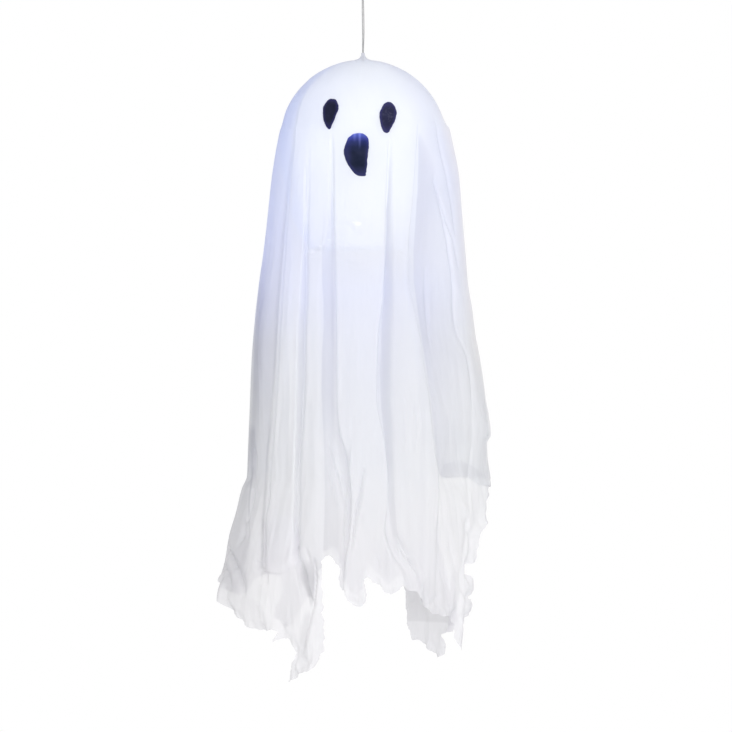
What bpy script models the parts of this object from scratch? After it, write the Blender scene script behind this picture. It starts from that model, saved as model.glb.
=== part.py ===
# Hanging ghost decoration: a white cloth sheet draped over a milky plastic
# head globe, hung from its crown on a doubled cord with a small ring at the
# top. A battery lamp on a yoke hangs inside the globe and lights the head.
#
# Metres, +Z up. The ghost faces -Y. The origin is the point of the ring's
# inner edge that bears on the hook or nail it hangs from.

import math

import bmesh
import bpy
from mathutils import Matrix, Vector

MM = 0.001
GAP = 0.3 * MM                      # clearance between neighbouring pieces

# ---- hanging ring and cord ----
RING_MEAN_R = 9.0 * MM
RING_WIRE_R = 0.9 * MM
RING_CENTRE_Z = -(RING_MEAN_R - RING_WIRE_R)
CORD_D = 1.2 * MM
CORD_STRAND_OFFSET = 0.79 * MM      # each strand from the cord's own axis
CORD_TOP_Z = -15.2 * MM             # middle of the cord where it bears on the ring
CORD_LOOP_R = 3.1 * MM              # half width of the loop round the ring's wire
CORD_TURNS = 0.5                    # how far the two strands twist about each other

# ---- head ----
CROWN_Z = -127.7 * MM               # top of the cloth on the crown
HEAD_R = 94.5 * MM                  # cloth's outer radius over the crown
SHEET_T = 1.2 * MM
GLOBE_CLEAR = 0.5 * MM
GLOBE_T = 1.2 * MM
GLOBE_DEPTH = 211.0 * MM            # crown to the globe's lower rim
GLOBE_RIM_R = 60.0 * MM
GLOBE_HOLE_R = 3.2 * MM
GATHER_H = 7.9 * MM                 # the cloth's pinched tip above the crown
GATHER_R = 3.1 * MM

# ---- sheet below the crown, in millimetres: depth under the crown, then how
# far the cloth reaches to the left, right, front and back of the cord ----
SKIRT = (
    (63, 88.8, 91.0, 89.6, 89.6),
    (76, 93.0, 96.0, 94.5, 94.5),
    (90, 95.6, 99.8, 97.0, 97.0),
    (117, 100.0, 105.6, 101.0, 101.0),
    (157, 105.6, 110.6, 104.5, 104.5),
    (225, 112.4, 115.8, 109.0, 110.0),
    (292, 121.0, 123.6, 114.0, 115.0),
    (360, 126.2, 134.0, 118.5, 119.0),
    (413, 128.2, 141.4, 122.0, 121.0),
    (468, 131.0, 140.6, 125.5, 122.5),
    (522, 147.0, 132.5, 128.5, 124.0),
    (589, 161.0, 127.0, 130.0, 124.5),
    (720, 150.0, 120.0, 124.0, 122.0),
)
# Hem: angle round the cord from +X towards +Y in degrees, then depth in mm.
HEM = (
    (0, 612), (22, 505), (48, 476), (78, 520), (108, 596), (134, 652),
    (158, 604), (182, 604), (204, 632), (222, 646), (236, 698), (247, 640),
    (257, 562), (267, 604), (279, 612), (292, 590), (303, 612), (314, 664),
    (326, 612), (337, 648), (349, 616),
)
LOBES = 10                          # soft folds round the skirt
LOBE_DEEP = 0.085                   # depth of a fold at the hem, as a part of the radius

# ---- lamp, depths under the crown ----
YOKE_R = 15.0 * MM
YOKE_FLANGE_BOTTOM = 6.6 * MM
YOKE_FOOT_TOP = 31.4 * MM
YOKE_FOOT_BOTTOM = 34.0 * MM
CASE_TOP = 34.3 * MM
CASE_BOTTOM = 95.7 * MM
CASE_HALF_X = 25.0 * MM
CASE_HALF_Y = 8.5 * MM
CELL_R = 5.25 * MM
CELL_L = 43.7 * MM
CELL_NIB_H = 0.8 * MM
CELL_X = (-16.2 * MM, -4.0 * MM, 8.2 * MM)
CELL_Y = -1.3 * MM
CAVITY_X = (-23.0 * MM, 15.0 * MM)
CAVITY_TOP = 39.3 * MM
CAVITY_BOTTOM = 89.7 * MM
BAY_X = (17.0 * MM, 23.4 * MM)
BAY_TOP = 46.0 * MM
DOOR_HINGE_Y = 7.0 * MM
DOOR_HINGE_DEPTH = 41.1 * MM
SWITCH_X = 20.2 * MM
SWITCH_DEPTH = 70.0 * MM            # middle of the slider when the lamp is on
SWITCH_TRAVEL = 4.0 * MM
BOARD_TOP = 100.0 * MM
LED_X = (-11.5 * MM, -1.5 * MM, 8.5 * MM)
LENS_BOTTOM = 114.0 * MM

# ---- face, in millimetres: across from the cord, then depth under the crown ----
EYE_LEFT = (
    (-45.0, 60.0), (-44.2, 52.6), (-39.4, 45.2), (-34.6, 43.8), (-30.4, 44.8),
    (-28.4, 48.8), (-27.4, 54.0), (-29.8, 61.4), (-33.0, 69.8), (-36.6, 77.2),
    (-38.6, 77.8), (-41.8, 74.0), (-44.2, 68.2),
)
EYE_RIGHT = (
    (18.6, 61.0), (19.8, 56.2), (23.4, 49.8), (27.8, 47.2), (32.0, 48.2),
    (35.6, 52.2), (37.8, 58.6), (37.2, 63.4), (35.2, 69.8), (32.0, 75.4),
    (29.6, 80.4), (26.4, 82.0), (23.2, 80.6), (20.6, 75.4), (19.2, 68.2),
)
MOUTH = (
    (-21.4, 105.2), (-20.6, 97.8), (-17.8, 90.0), (-13.8, 85.0), (-9.4, 82.8),
    (-4.6, 82.2), (0.0, 82.8), (3.8, 85.4), (6.2, 89.2), (6.6, 96.2),
    (5.8, 103.4), (5.0, 111.0), (4.6, 119.0), (3.6, 126.4), (2.6, 130.2),
    (-3.4, 130.4), (-7.6, 129.0), (-11.6, 125.2), (-15.6, 119.8), (-19.4, 112.6),
)
PATCH_T = 0.8 * MM


# ---------------------------------------------------------------- helpers

def clear_scene():
    for obj in list(bpy.data.objects):
        bpy.data.objects.remove(obj, do_unlink=True)


def material(name, colour, roughness, metallic=0.0, transmission=0.0, glow=0.0):
    mat = bpy.data.materials.new(name)
    mat.use_nodes = True
    shader = mat.node_tree.nodes["Principled BSDF"]
    shader.inputs["Base Color"].default_value = (*colour, 1.0)
    shader.inputs["Roughness"].default_value = roughness
    shader.inputs["Metallic"].default_value = metallic
    shader.inputs["Transmission Weight"].default_value = transmission
    if glow:
        shader.inputs["Emission Color"].default_value = (*colour, 1.0)
        shader.inputs["Emission Strength"].default_value = glow
    mat.diffuse_color = (*colour, 1.0)
    return mat


def empty(name, at, parent=None):
    obj = bpy.data.objects.new(name, None)
    obj.empty_display_size = 0.02
    bpy.context.collection.objects.link(obj)
    place(obj, at, parent)
    return obj


def place(obj, at, parent):
    """Put an object's origin at a world point, under its parent."""
    if parent is not None:
        obj.parent = parent
        at = Vector(at) - world_place[parent.name]
    obj.location = at
    world_place[obj.name] = Vector(at) + (world_place[parent.name] if parent else Vector())


world_place = {}


def solid(name, bm, mat, at=(0, 0, 0), parent=None, smooth=True):
    """Turn world-space bmesh geometry into an object with its origin at a point."""
    bmesh.ops.translate(bm, verts=bm.verts, vec=-Vector(at))
    bmesh.ops.recalc_face_normals(bm, faces=bm.faces)
    mesh = bpy.data.meshes.new(name)
    bm.to_mesh(mesh)
    bm.free()
    if mat is not None:
        mesh.materials.append(mat)
    if smooth:
        mesh.shade_smooth()
        mesh.set_sharp_from_angle(angle=math.radians(40))
    obj = bpy.data.objects.new(name, mesh)
    bpy.context.collection.objects.link(obj)
    place(obj, at, parent)
    return obj


def modify(obj, cutter, operation):
    """Join a guide body to an object, or cut it out of one."""
    mod = obj.modifiers.new(cutter.name, "BOOLEAN")
    mod.operation = operation
    mod.solver = "EXACT"
    mod.object = cutter
    cutter.hide_render = True
    cutter.display_type = "WIRE"
    cutter.parent = obj.parent
    if obj.parent is not None:
        cutter.location = cutter.location - world_place[obj.parent.name]


def block_bm(low, high, bevel=0.0, segments=1):
    """A box between two corners given in metres, its edges rounded."""
    bm = bmesh.new()
    size = [h - l for l, h in zip(low, high)]
    centre = [(h + l) / 2 for l, h in zip(low, high)]
    bmesh.ops.create_cube(bm, size=1.0)
    bmesh.ops.scale(bm, vec=size, verts=bm.verts)
    if bevel:
        bmesh.ops.bevel(bm, geom=list(bm.edges), offset=bevel, segments=segments,
                        profile=0.5, affect="EDGES")
    bmesh.ops.translate(bm, verts=bm.verts, vec=centre)
    return bm


def turned_bm(profile, steps, closed=True):
    """Spin a profile of (radius, z) points about Z. A point at radius 0 is a pole."""
    bm = bmesh.new()
    verts = [bm.verts.new((max(r, 0.0), 0.0, z)) for r, z in profile]
    edges = [bm.edges.new((a, b)) for a, b in zip(verts, verts[1:])]
    if closed:
        edges.append(bm.edges.new((verts[-1], verts[0])))
    bmesh.ops.spin(bm, geom=verts + edges, cent=(0, 0, 0), axis=(0, 0, 1),
                   angle=math.tau, steps=steps, use_merge=True)
    bmesh.ops.remove_doubles(bm, verts=bm.verts, dist=1e-7)
    return bm


def move_bm(bm, vec):
    bmesh.ops.translate(bm, verts=bm.verts, vec=vec)
    return bm


def turn_bm(bm, degrees, axis, centre=(0, 0, 0)):
    bmesh.ops.rotate(bm, verts=bm.verts, cent=centre,
                     matrix=Matrix.Rotation(math.radians(degrees), 3, axis))
    return bm


def rod_bm(radius, start, end, sides=16):
    """A round rod between two points."""
    start, end = Vector(start), Vector(end)
    bm = bmesh.new()
    bmesh.ops.create_cone(bm, cap_ends=True, segments=sides, radius1=radius,
                          radius2=radius, depth=(end - start).length)
    turn = (end - start).to_track_quat("Z", "Y").to_matrix()
    bmesh.ops.rotate(bm, verts=bm.verts, cent=(0, 0, 0), matrix=turn)
    bmesh.ops.translate(bm, verts=bm.verts, vec=(start + end) / 2)
    return bm


def tube(name, points, radius, mat, at, parent, resolution=2):
    """A round cord along points, with filled ends."""
    curve = bpy.data.curves.new(name, "CURVE")
    curve.dimensions = "3D"
    curve.bevel_depth = radius
    curve.bevel_resolution = resolution
    curve.use_fill_caps = True
    spline = curve.splines.new("POLY")
    spline.points.add(len(points) - 1)
    for point, co in zip(spline.points, points):
        point.co = (*(Vector(co) - Vector(at)), 1.0)
    curve.materials.append(mat)
    obj = bpy.data.objects.new(name, curve)
    bpy.context.collection.objects.link(obj)
    place(obj, at, parent)
    return obj


def hermite(p0, p1, p2, p3, t):
    """Smooth curve through four neighbouring values."""
    m1, m2 = (p2 - p0) / 2, (p3 - p1) / 2
    return ((2 * t ** 3 - 3 * t ** 2 + 1) * p1 + (t ** 3 - 2 * t ** 2 + t) * m1
            + (-2 * t ** 3 + 3 * t ** 2) * p2 + (t ** 3 - t ** 2) * m2)


def smoothstep(low, high, value):
    t = min(max((value - low) / (high - low), 0.0), 1.0)
    return t * t * (3 - 2 * t)


def smooth_path(keys, spacing):
    """Points at an even spacing on a smooth curve through the key points."""
    keys = [Vector(k) for k in keys]
    ends = [2 * keys[0] - keys[1]] + keys + [2 * keys[-1] - keys[-2]]
    dense = []
    for i in range(len(keys) - 1):
        for j in range(40):
            t = j / 40
            dense.append(Vector([hermite(*[ends[i + k][a] for k in range(4)], t)
                                 for a in range(3)]))
    dense.append(keys[-1])
    length = sum((b - a).length for a, b in zip(dense, dense[1:]))
    count = max(2, round(length / spacing))
    out, walked, target = [dense[0]], 0.0, length / count
    for a, b in zip(dense, dense[1:]):
        step = (b - a).length
        while step > 0 and walked + step >= target - 1e-9 and len(out) < count:
            out.append(a.lerp(b, (target - walked) / step))
            target += length / count
        walked += step
    out.append(dense[-1])
    return out


# ------------------------------------------------------------ sheet's shape

def reach(depth):
    """How far the cloth reaches left, right, front and back at a depth, in metres."""
    head = math.sqrt(max(HEAD_R ** 2 - (HEAD_R - min(depth, HEAD_R)) ** 2, 0.0))
    d = depth / MM
    rows = SKIRT
    if d <= rows[0][0]:
        skirt = [v * MM for v in rows[0][1:]]
    elif d >= rows[-1][0]:
        skirt = [v * MM for v in rows[-1][1:]]
    else:
        i = max(k for k in range(len(rows) - 1) if rows[k][0] <= d)
        t = (d - rows[i][0]) / (rows[i + 1][0] - rows[i][0])
        near = [rows[max(i - 1, 0)], rows[i], rows[i + 1], rows[min(i + 2, len(rows) - 1)]]
        skirt = [hermite(*[row[c] for row in near], t) * MM for c in range(1, 5)]
    mix = smoothstep(50 * MM, 76 * MM, depth)
    return [head * (1 - mix) + s * mix for s in skirt]


def hem_depth(angle):
    """Depth of the hem at an angle in degrees, in metres."""
    count = len(HEM)
    angle %= 360
    i = max(k for k in range(count) if HEM[k][0] <= angle)
    here, ahead = HEM[i], HEM[(i + 1) % count]
    span = (ahead[0] - here[0]) % 360
    return hermite(HEM[i - 1][1], here[1], ahead[1], HEM[(i + 2) % count][1],
                   (angle - here[0]) / span) * MM


def sheet_point(angle, depth):
    """A point on the cloth's outer face, from an angle in degrees and a depth."""
    left, right, front, back = reach(depth)
    a = math.radians(angle)
    fold = LOBE_DEEP * smoothstep(150 * MM, 600 * MM, depth)
    k = 1 - fold * (1 - math.cos(LOBES * a)) / 2
    x = math.cos(a) * (right if math.cos(a) > 0 else left) * k
    y = math.sin(a) * (back if math.sin(a) > 0 else front) * k
    return Vector((x, y, CROWN_Z - depth))


def sheet_bm(steps):
    """The draped sheet's outer face: a gathered tip, the crown, then the skirt."""
    bm = bmesh.new()
    rings = []
    for r, up in ((GATHER_R, GATHER_H), (3.5 * MM, 5.2 * MM), (4.6 * MM, 2.9 * MM),
                  (6.8 * MM, 1.1 * MM), (10.5 * MM, -0.5 * MM)):
        rings.append([bm.verts.new((r * math.cos(math.tau * j / steps),
                                    r * math.sin(math.tau * j / steps), CROWN_Z + up))
                      for j in range(steps)])
    for arc in (14, 23, 33, 43, 53, 64, 76):
        depth = HEAD_R * (1 - math.cos(math.radians(arc)))
        rings.append([bm.verts.new(sheet_point(360 * j / steps, depth)) for j in range(steps)])
    for depth in (90, 112, 140, 180, 225, 272, 320):
        rings.append([bm.verts.new(sheet_point(360 * j / steps, depth * MM))
                      for j in range(steps)])
    for t in (0.2, 0.4, 0.6, 0.8, 1.0):
        ring = []
        for j in range(steps):
            a = 360 * j / steps
            ring.append(bm.verts.new(sheet_point(a, 320 * MM + t * (hem_depth(a) - 320 * MM))))
        rings.append(ring)
    for upper, lower in zip(rings, rings[1:]):
        for j in range(steps):
            k = (j + 1) % steps
            bm.faces.new((upper[j], lower[j], lower[k], upper[k]))
    return bm


def patch_bm(outline):
    """A felt patch with a given outline, lying on the cloth's front."""
    cx = sum(p[0] for p in outline) / len(outline)
    cz = sum(p[1] for p in outline) / len(outline)

    def on_sheet(x_mm, depth_mm, proud):
        depth = depth_mm * MM
        left, right, front, back = reach(depth)
        x = x_mm * MM
        half = right if x > 0 else left
        angle = -math.degrees(math.acos(max(-1, min(1, x / half))))
        here = sheet_point(angle, depth)
        normal = (sheet_point(angle + 1, depth) - sheet_point(angle - 1, depth)).cross(
            sheet_point(angle, depth + MM) - sheet_point(angle, depth - MM)).normalized()
        if normal.y > 0:
            normal = -normal
        return here + normal * proud

    bm = bmesh.new()
    layers = []
    for proud in (GAP + 0.15 * MM, GAP + 0.15 * MM + PATCH_T):
        rings = []
        for k in (1.0, 0.66, 0.33):
            rings.append([bm.verts.new(on_sheet(cx + (x - cx) * k, cz + (z - cz) * k, proud))
                          for x, z in outline])
        layers.append((rings, bm.verts.new(on_sheet(cx, cz, proud))))
    count = len(outline)
    for rings, middle in layers:
        for j in range(count):
            k = (j + 1) % count
            for a, b in zip(rings, rings[1:]):
                bm.faces.new((a[j], a[k], b[k], b[j]))
            bm.faces.new((rings[-1][j], rings[-1][k], middle))
    for j in range(count):
        k = (j + 1) % count
        bm.faces.new((layers[0][0][0][j], layers[0][0][0][k],
                      layers[1][0][0][k], layers[1][0][0][j]))
    return bm


# ------------------------------------------------------------ the pieces

def at_depth(x, y, depth):
    return Vector((x, y, CROWN_Z - depth))


def span(x, y, depth):
    """Low and high corners of a box, from x, y and depth ranges."""
    return ((x[0], y[0], CROWN_Z - depth[1]), (x[1], y[1], CROWN_Z - depth[0]))


def cord_route(top_z, bottom_z):
    """Key points of the doubled cord: up one strand, over the ring, down the other."""
    side = []
    start = top_z - 4.3 * CORD_LOOP_R
    steps = 12
    for i in range(steps + 1):
        z = bottom_z + (start - bottom_z) * i / steps
        turn = math.pi / 2 + math.tau * CORD_TURNS * (1 - i / steps)
        lean = Vector((0.35 * math.sin(5.2 * i / steps), 0.2 * math.sin(3.1 * i / steps), 0)) * MM
        lean *= smoothstep(0.15, 0.35, i / steps) * (1 - smoothstep(0.8, 1.0, i / steps))
        side.append((z, turn, lean, CORD_STRAND_OFFSET))
    points = [Vector((math.cos(t) * r, math.sin(t) * r, z)) + lean for z, t, lean, r in side]
    for k, up in ((0.42, 1.3), (0.8, 2.5)):
        points.append(Vector((0, CORD_LOOP_R * k, start + up * CORD_LOOP_R)))
    for degrees in (20, 55, 90, 125, 160):
        a = math.radians(degrees)
        points.append(Vector((0, CORD_LOOP_R * math.cos(a),
                              top_z - CORD_LOOP_R + CORD_LOOP_R * math.sin(a))))
    for k, up in ((0.8, 2.5), (0.42, 1.3)):
        points.append(Vector((0, -CORD_LOOP_R * k, start + up * CORD_LOOP_R)))
    for z, t, lean, r in reversed(side):
        points.append(Vector((-math.cos(t) * r, -math.sin(t) * r, z)) + lean)
    return points


def screw(name, at, direction, mat, parent, head_r, head_h, shank_r, shank_l):
    """A pan-head screw with a cross slot. 'at' is under the head; direction is its way in."""
    bm = turned_bm(((0, -shank_l), (shank_r * 0.55, -shank_l), (shank_r, -shank_l + shank_r),
                    (shank_r, 0), (head_r, 0), (head_r, head_h * 0.55),
                    (head_r * 0.72, head_h), (0, head_h)), 12, closed=False)
    slot = block_bm((-head_r * 0.6, -head_r * 0.16, head_h * 0.5),
                    (head_r * 0.6, head_r * 0.16, head_h * 1.5))
    for piece in (bm, slot):
        turn = (-Vector(direction)).to_track_quat("Z", "Y").to_matrix()
        bmesh.ops.rotate(piece, verts=piece.verts, cent=(0, 0, 0), matrix=turn)
        move_bm(piece, at)
    obj = solid(name, bm, mat, at, parent)
    modify(obj, solid(name + "_slot", slot, None, at), "DIFFERENCE")
    return obj


def helix(centre, radius_low, radius_high, low, high, turns, per_turn=10):
    count = int(turns * per_turn)
    out = []
    for i in range(count + 1):
        t = i / count
        a = math.tau * turns * t
        r = radius_low + (radius_high - radius_low) * t
        out.append(Vector((centre[0] + r * math.cos(a), centre[1] + r * math.sin(a),
                           low + (high - low) * t)))
    return out


def build():
    clear_scene()
    steel = material("ring_steel", (0.62, 0.62, 0.63), 0.28, 1.0)
    screw_steel = material("screw_steel", (0.55, 0.55, 0.56), 0.35, 1.0)
    cord_white = material("cord_white", (0.78, 0.78, 0.78), 0.7)
    cloth = material("sheet_cloth", (0.93, 0.94, 0.97), 0.85)
    felt = material("face_felt", (0.03, 0.03, 0.06), 0.9)
    globe_white = material("globe_milky", (0.88, 0.92, 0.97), 0.35, transmission=0.4)
    abs_white = material("lamp_plastic", (0.82, 0.83, 0.84), 0.45)
    nylon = material("washer_nylon", (0.75, 0.75, 0.72), 0.5)
    cell_skin = material("cell_sleeve", (0.08, 0.09, 0.1), 0.35)
    nickel = material("contact_nickel", (0.66, 0.64, 0.6), 0.3, 1.0)
    switch_black = material("switch_black", (0.04, 0.04, 0.045), 0.5)
    board_green = material("board_green", (0.05, 0.22, 0.12), 0.4)
    led_clear = material("led_clear", (0.8, 0.88, 1.0), 0.1, transmission=0.8, glow=4.0)
    lens_clear = material("lens_clear", (0.9, 0.95, 1.0), 0.08, transmission=0.9)
    red = material("lead_red", (0.6, 0.03, 0.03), 0.5)
    black = material("lead_black", (0.03, 0.03, 0.03), 0.5)
    tan = material("resistor_tan", (0.65, 0.5, 0.33), 0.5)

    hanger = empty("hanger", (0, 0, 0))
    swing = empty("swing_axis", (0, 0, RING_CENTRE_Z), hanger)
    exit_z = CROWN_Z + GATHER_H
    spin = empty("spin_axis", (0, 0, exit_z), swing)
    lamp = empty("lamp", at_depth(0, 0, CASE_TOP), spin)
    crown = at_depth(0, 0, 0)

    # Ring that the cord's loop hangs in. It stands in the XZ plane.
    bm = bmesh.new()
    circle = [bm.verts.new((RING_MEAN_R + RING_WIRE_R * math.cos(math.tau * i / 8),
                            RING_WIRE_R * math.sin(math.tau * i / 8), 0)) for i in range(8)]
    edges = [bm.edges.new((circle[i], circle[(i + 1) % 8])) for i in range(8)]
    bmesh.ops.spin(bm, geom=circle + edges, cent=(0, 0, 0), axis=(0, 1, 0),
                   angle=math.tau, steps=28, use_merge=True)
    bmesh.ops.remove_doubles(bm, verts=bm.verts, dist=1e-7)
    move_bm(bm, (0, 0, RING_CENTRE_Z))
    solid("hanging_ring", bm, steel, (0, 0, 0), hanger)

    # Doubled cord, from the knot up over the ring and back.
    knot_top = YOKE_FLANGE_BOTTOM + GAP + 1.0 * MM + GAP
    route = smooth_path(cord_route(CORD_TOP_Z, CROWN_Z - knot_top + GAP), 3.2 * MM)
    tube("hanging_cord", route, CORD_D / 2, cord_white, (0, 0, RING_CENTRE_Z), swing)

    # Stopper knot and the washer above it.
    bm = bmesh.new()
    bmesh.ops.create_uvsphere(bm, u_segments=12, v_segments=7, radius=1.0)
    bmesh.ops.scale(bm, vec=(3.6 * MM, 3.2 * MM, 2.9 * MM), verts=bm.verts)
    for v in bm.verts:
        twist = 1 + 0.09 * math.cos(3 * math.atan2(v.co.y, v.co.x) + 900 * v.co.z)
        v.co.x *= twist
        v.co.y *= twist
    move_bm(bm, at_depth(0, 0, knot_top + 2.9 * MM))
    solid("cord_knot", bm, cord_white, at_depth(0, 0, knot_top + 2.9 * MM), spin)
    washer_top = -(YOKE_FLANGE_BOTTOM + GAP)
    bm = turned_bm(((2.1 * MM, washer_top), (5.6 * MM, washer_top),
                    (5.6 * MM, washer_top - 1.0 * MM), (2.1 * MM, washer_top - 1.0 * MM)), 20)
    solid("knot_washer", move_bm(bm, crown), nylon, at_depth(0, 0, -washer_top), spin)

    # Yoke: a domed flange under the crown, two legs and a foot that carries the lamp.
    in_r = HEAD_R - SHEET_T - GLOBE_CLEAR - GLOBE_T - GAP
    cap = [(2.5 * MM, math.sqrt(in_r ** 2 - (2.5 * MM) ** 2) - HEAD_R)]
    for k in range(1, 4):
        r = 2.5 * MM + (YOKE_R - 2.5 * MM) * k / 3
        cap.append((r, math.sqrt(in_r ** 2 - r ** 2) - HEAD_R))
    cap += [(YOKE_R, -YOKE_FLANGE_BOTTOM + 0.8 * MM), (YOKE_R - 0.8 * MM, -YOKE_FLANGE_BOTTOM),
            (2.5 * MM, -YOKE_FLANGE_BOTTOM)]
    yoke = solid("crown_yoke", move_bm(turned_bm(cap, 20), crown), abs_white, crown, spin)
    frame = block_bm(*span((-13.5 * MM, 13.5 * MM), (-5 * MM, 5 * MM),
                           (YOKE_FLANGE_BOTTOM - 1.2 * MM, YOKE_FOOT_BOTTOM)), 0.8 * MM, 1)
    frame_obj = solid("yoke_frame", frame, None, crown)
    window = solid("yoke_window", block_bm(*span((-11 * MM, 11 * MM), (-9 * MM, 9 * MM),
                                                (YOKE_FLANGE_BOTTOM, YOKE_FOOT_TOP))), None, crown)
    modify(yoke, frame_obj, "UNION")
    modify(yoke, window, "DIFFERENCE")
    bore = solid("yoke_bore", rod_bm(2.45 * MM, at_depth(0, 0, 1 * MM), at_depth(0, 0, 9 * MM), 20),
                 None, crown)
    modify(yoke, bore, "DIFFERENCE")
    for side, x in (("left", -8 * MM), ("right", 8 * MM)):
        hole = solid("yoke_hole_" + side,
                     rod_bm(1.5 * MM, at_depth(x, 0, YOKE_FOOT_TOP - MM),
                            at_depth(x, 0, YOKE_FOOT_BOTTOM + MM), 16), None, crown)
        modify(yoke, hole, "DIFFERENCE")

    # Head globe: a milky shell, open below, with a hole for the cord at its crown.
    out_r = HEAD_R - SHEET_T - GLOBE_CLEAR
    outer = [(GLOBE_HOLE_R, math.sqrt(out_r ** 2 - GLOBE_HOLE_R ** 2) - HEAD_R)]
    for k in range(1, 10):
        a = math.radians(96 * k / 9)
        outer.append((out_r * math.sin(a), out_r * math.cos(a) - HEAD_R))
    low_r, low_z = outer[-1]
    drop = -GLOBE_DEPTH + 0.0 - low_z
    for k in range(1, 6):
        t = k / 5
        ease = 1 - math.sqrt(max(1 - (t * 0.985) ** 2.6, 0))
        outer.append((low_r - (low_r - GLOBE_RIM_R) * ease, low_z + drop * t))
    inner = []
    for i in range(len(outer)):
        a, b = outer[max(i - 1, 0)], outer[min(i + 1, len(outer) - 1)]
        run = Vector((b[0] - a[0], b[1] - a[1])).normalized()
        inner.append((outer[i][0] + run.y * GLOBE_T, outer[i][1] - run.x * GLOBE_T))
    inner[0] = (GLOBE_HOLE_R, inner[0][1])
    globe = turned_bm(outer + inner[::-1], 36)
    solid("head_globe", move_bm(globe, crown), globe_white, crown, spin)

    # Sheet over it all, and the three felt patches of the face.
    sheet = solid("ghost_sheet", sheet_bm(50), cloth, crown, spin)
    shell = sheet.modifiers.new("thickness", "SOLIDIFY")
    shell.thickness = SHEET_T
    shell.offset = -1.0
    shell.use_rim = True
    shell.use_even_offset = False
    for name, outline in (("eye_left", EYE_LEFT), ("eye_right", EYE_RIGHT), ("mouth", MOUTH)):
        solid(name, patch_bm(outline), felt, crown, spin)

    # Battery case: one moulding with a cell cavity and a switch bay, open to the back.
    case = solid("battery_case",
                 block_bm(*span((-CASE_HALF_X, CASE_HALF_X), (-CASE_HALF_Y, CASE_HALF_Y),
                                (CASE_TOP, CASE_BOTTOM)), 1.2 * MM, 1), abs_white,
                 at_depth(0, 0, CASE_TOP), lamp)
    for i, (x, y, d) in enumerate((
            ((CAVITY_X[0], CAVITY_X[1]), (-6.9 * MM, 12 * MM), (CAVITY_TOP, CAVITY_BOTTOM)),
            ((BAY_X[0], BAY_X[1]), (-6.9 * MM, 12 * MM), (BAY_TOP, CAVITY_BOTTOM)),
            ((-9.3 * MM, 1.3 * MM), (6.2 * MM, 12 * MM), (CAVITY_BOTTOM - MM, CASE_BOTTOM - MM)))):
        cutter = solid("case_cut_%d" % i, block_bm(*span(x, y, d)), None, at_depth(0, 0, CASE_TOP))
        modify(case, cutter, "DIFFERENCE")
    lip = block_bm(*span((-22.6 * MM, 22.6 * MM), (-6.4 * MM, 6.4 * MM),
                         (CASE_BOTTOM - MM, CASE_BOTTOM + 1.4 * MM)), 0.4 * MM, 1)
    modify(case, solid("case_lip", lip, None, at_depth(0, 0, CASE_TOP)), "UNION")
    for side, x in (("left", -18 * MM), ("right", 15 * MM)):
        boss = rod_bm(2.4 * MM, at_depth(x, 0, CASE_BOTTOM - MM), at_depth(x, 0, BOARD_TOP - GAP), 16)
        modify(case, solid("case_boss_" + side, boss, None, at_depth(0, 0, CASE_TOP)), "UNION")
        hole = rod_bm(1.2 * MM, at_depth(x, 0, CASE_BOTTOM - 4 * MM), at_depth(x, 0, BOARD_TOP + MM), 12)
        modify(case, solid("case_boss_hole_" + side, hole, None, at_depth(0, 0, CASE_TOP)), "DIFFERENCE")
    for side, x in (("left", -8 * MM), ("right", 8 * MM)):
        hole = rod_bm(1.2 * MM, at_depth(x, 0, CASE_TOP - MM), at_depth(x, 0, CASE_TOP + 4.2 * MM), 12)
        modify(case, solid("case_top_hole_" + side, hole, None, at_depth(0, 0, CASE_TOP)), "DIFFERENCE")
    pivots = rod_bm(1.0 * MM, at_depth(CAVITY_X[0] - 1.3 * MM, DOOR_HINGE_Y, DOOR_HINGE_DEPTH),
                    at_depth(CAVITY_X[1] + 1.3 * MM, DOOR_HINGE_Y, DOOR_HINGE_DEPTH), 14)
    modify(case, solid("case_pivots", pivots, None, at_depth(0, 0, CASE_TOP)), "DIFFERENCE")
    latch = rod_bm(1.35 * MM, at_depth(-4 * MM, 9 * MM, 92.3 * MM), at_depth(-4 * MM, -2 * MM, 92.3 * MM), 12)
    modify(case, solid("case_latch_hole", latch, None, at_depth(0, 0, CASE_TOP)), "DIFFERENCE")
    for name, y in (("red", -3 * MM), ("black", 3 * MM)):
        hole = rod_bm(1.0 * MM, at_depth(SWITCH_X, y, CAVITY_BOTTOM - MM),
                      at_depth(SWITCH_X, y, CASE_BOTTOM + 2 * MM), 12)
        modify(case, solid("case_lead_hole_" + name, hole, None, at_depth(0, 0, CASE_TOP)), "DIFFERENCE")

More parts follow.
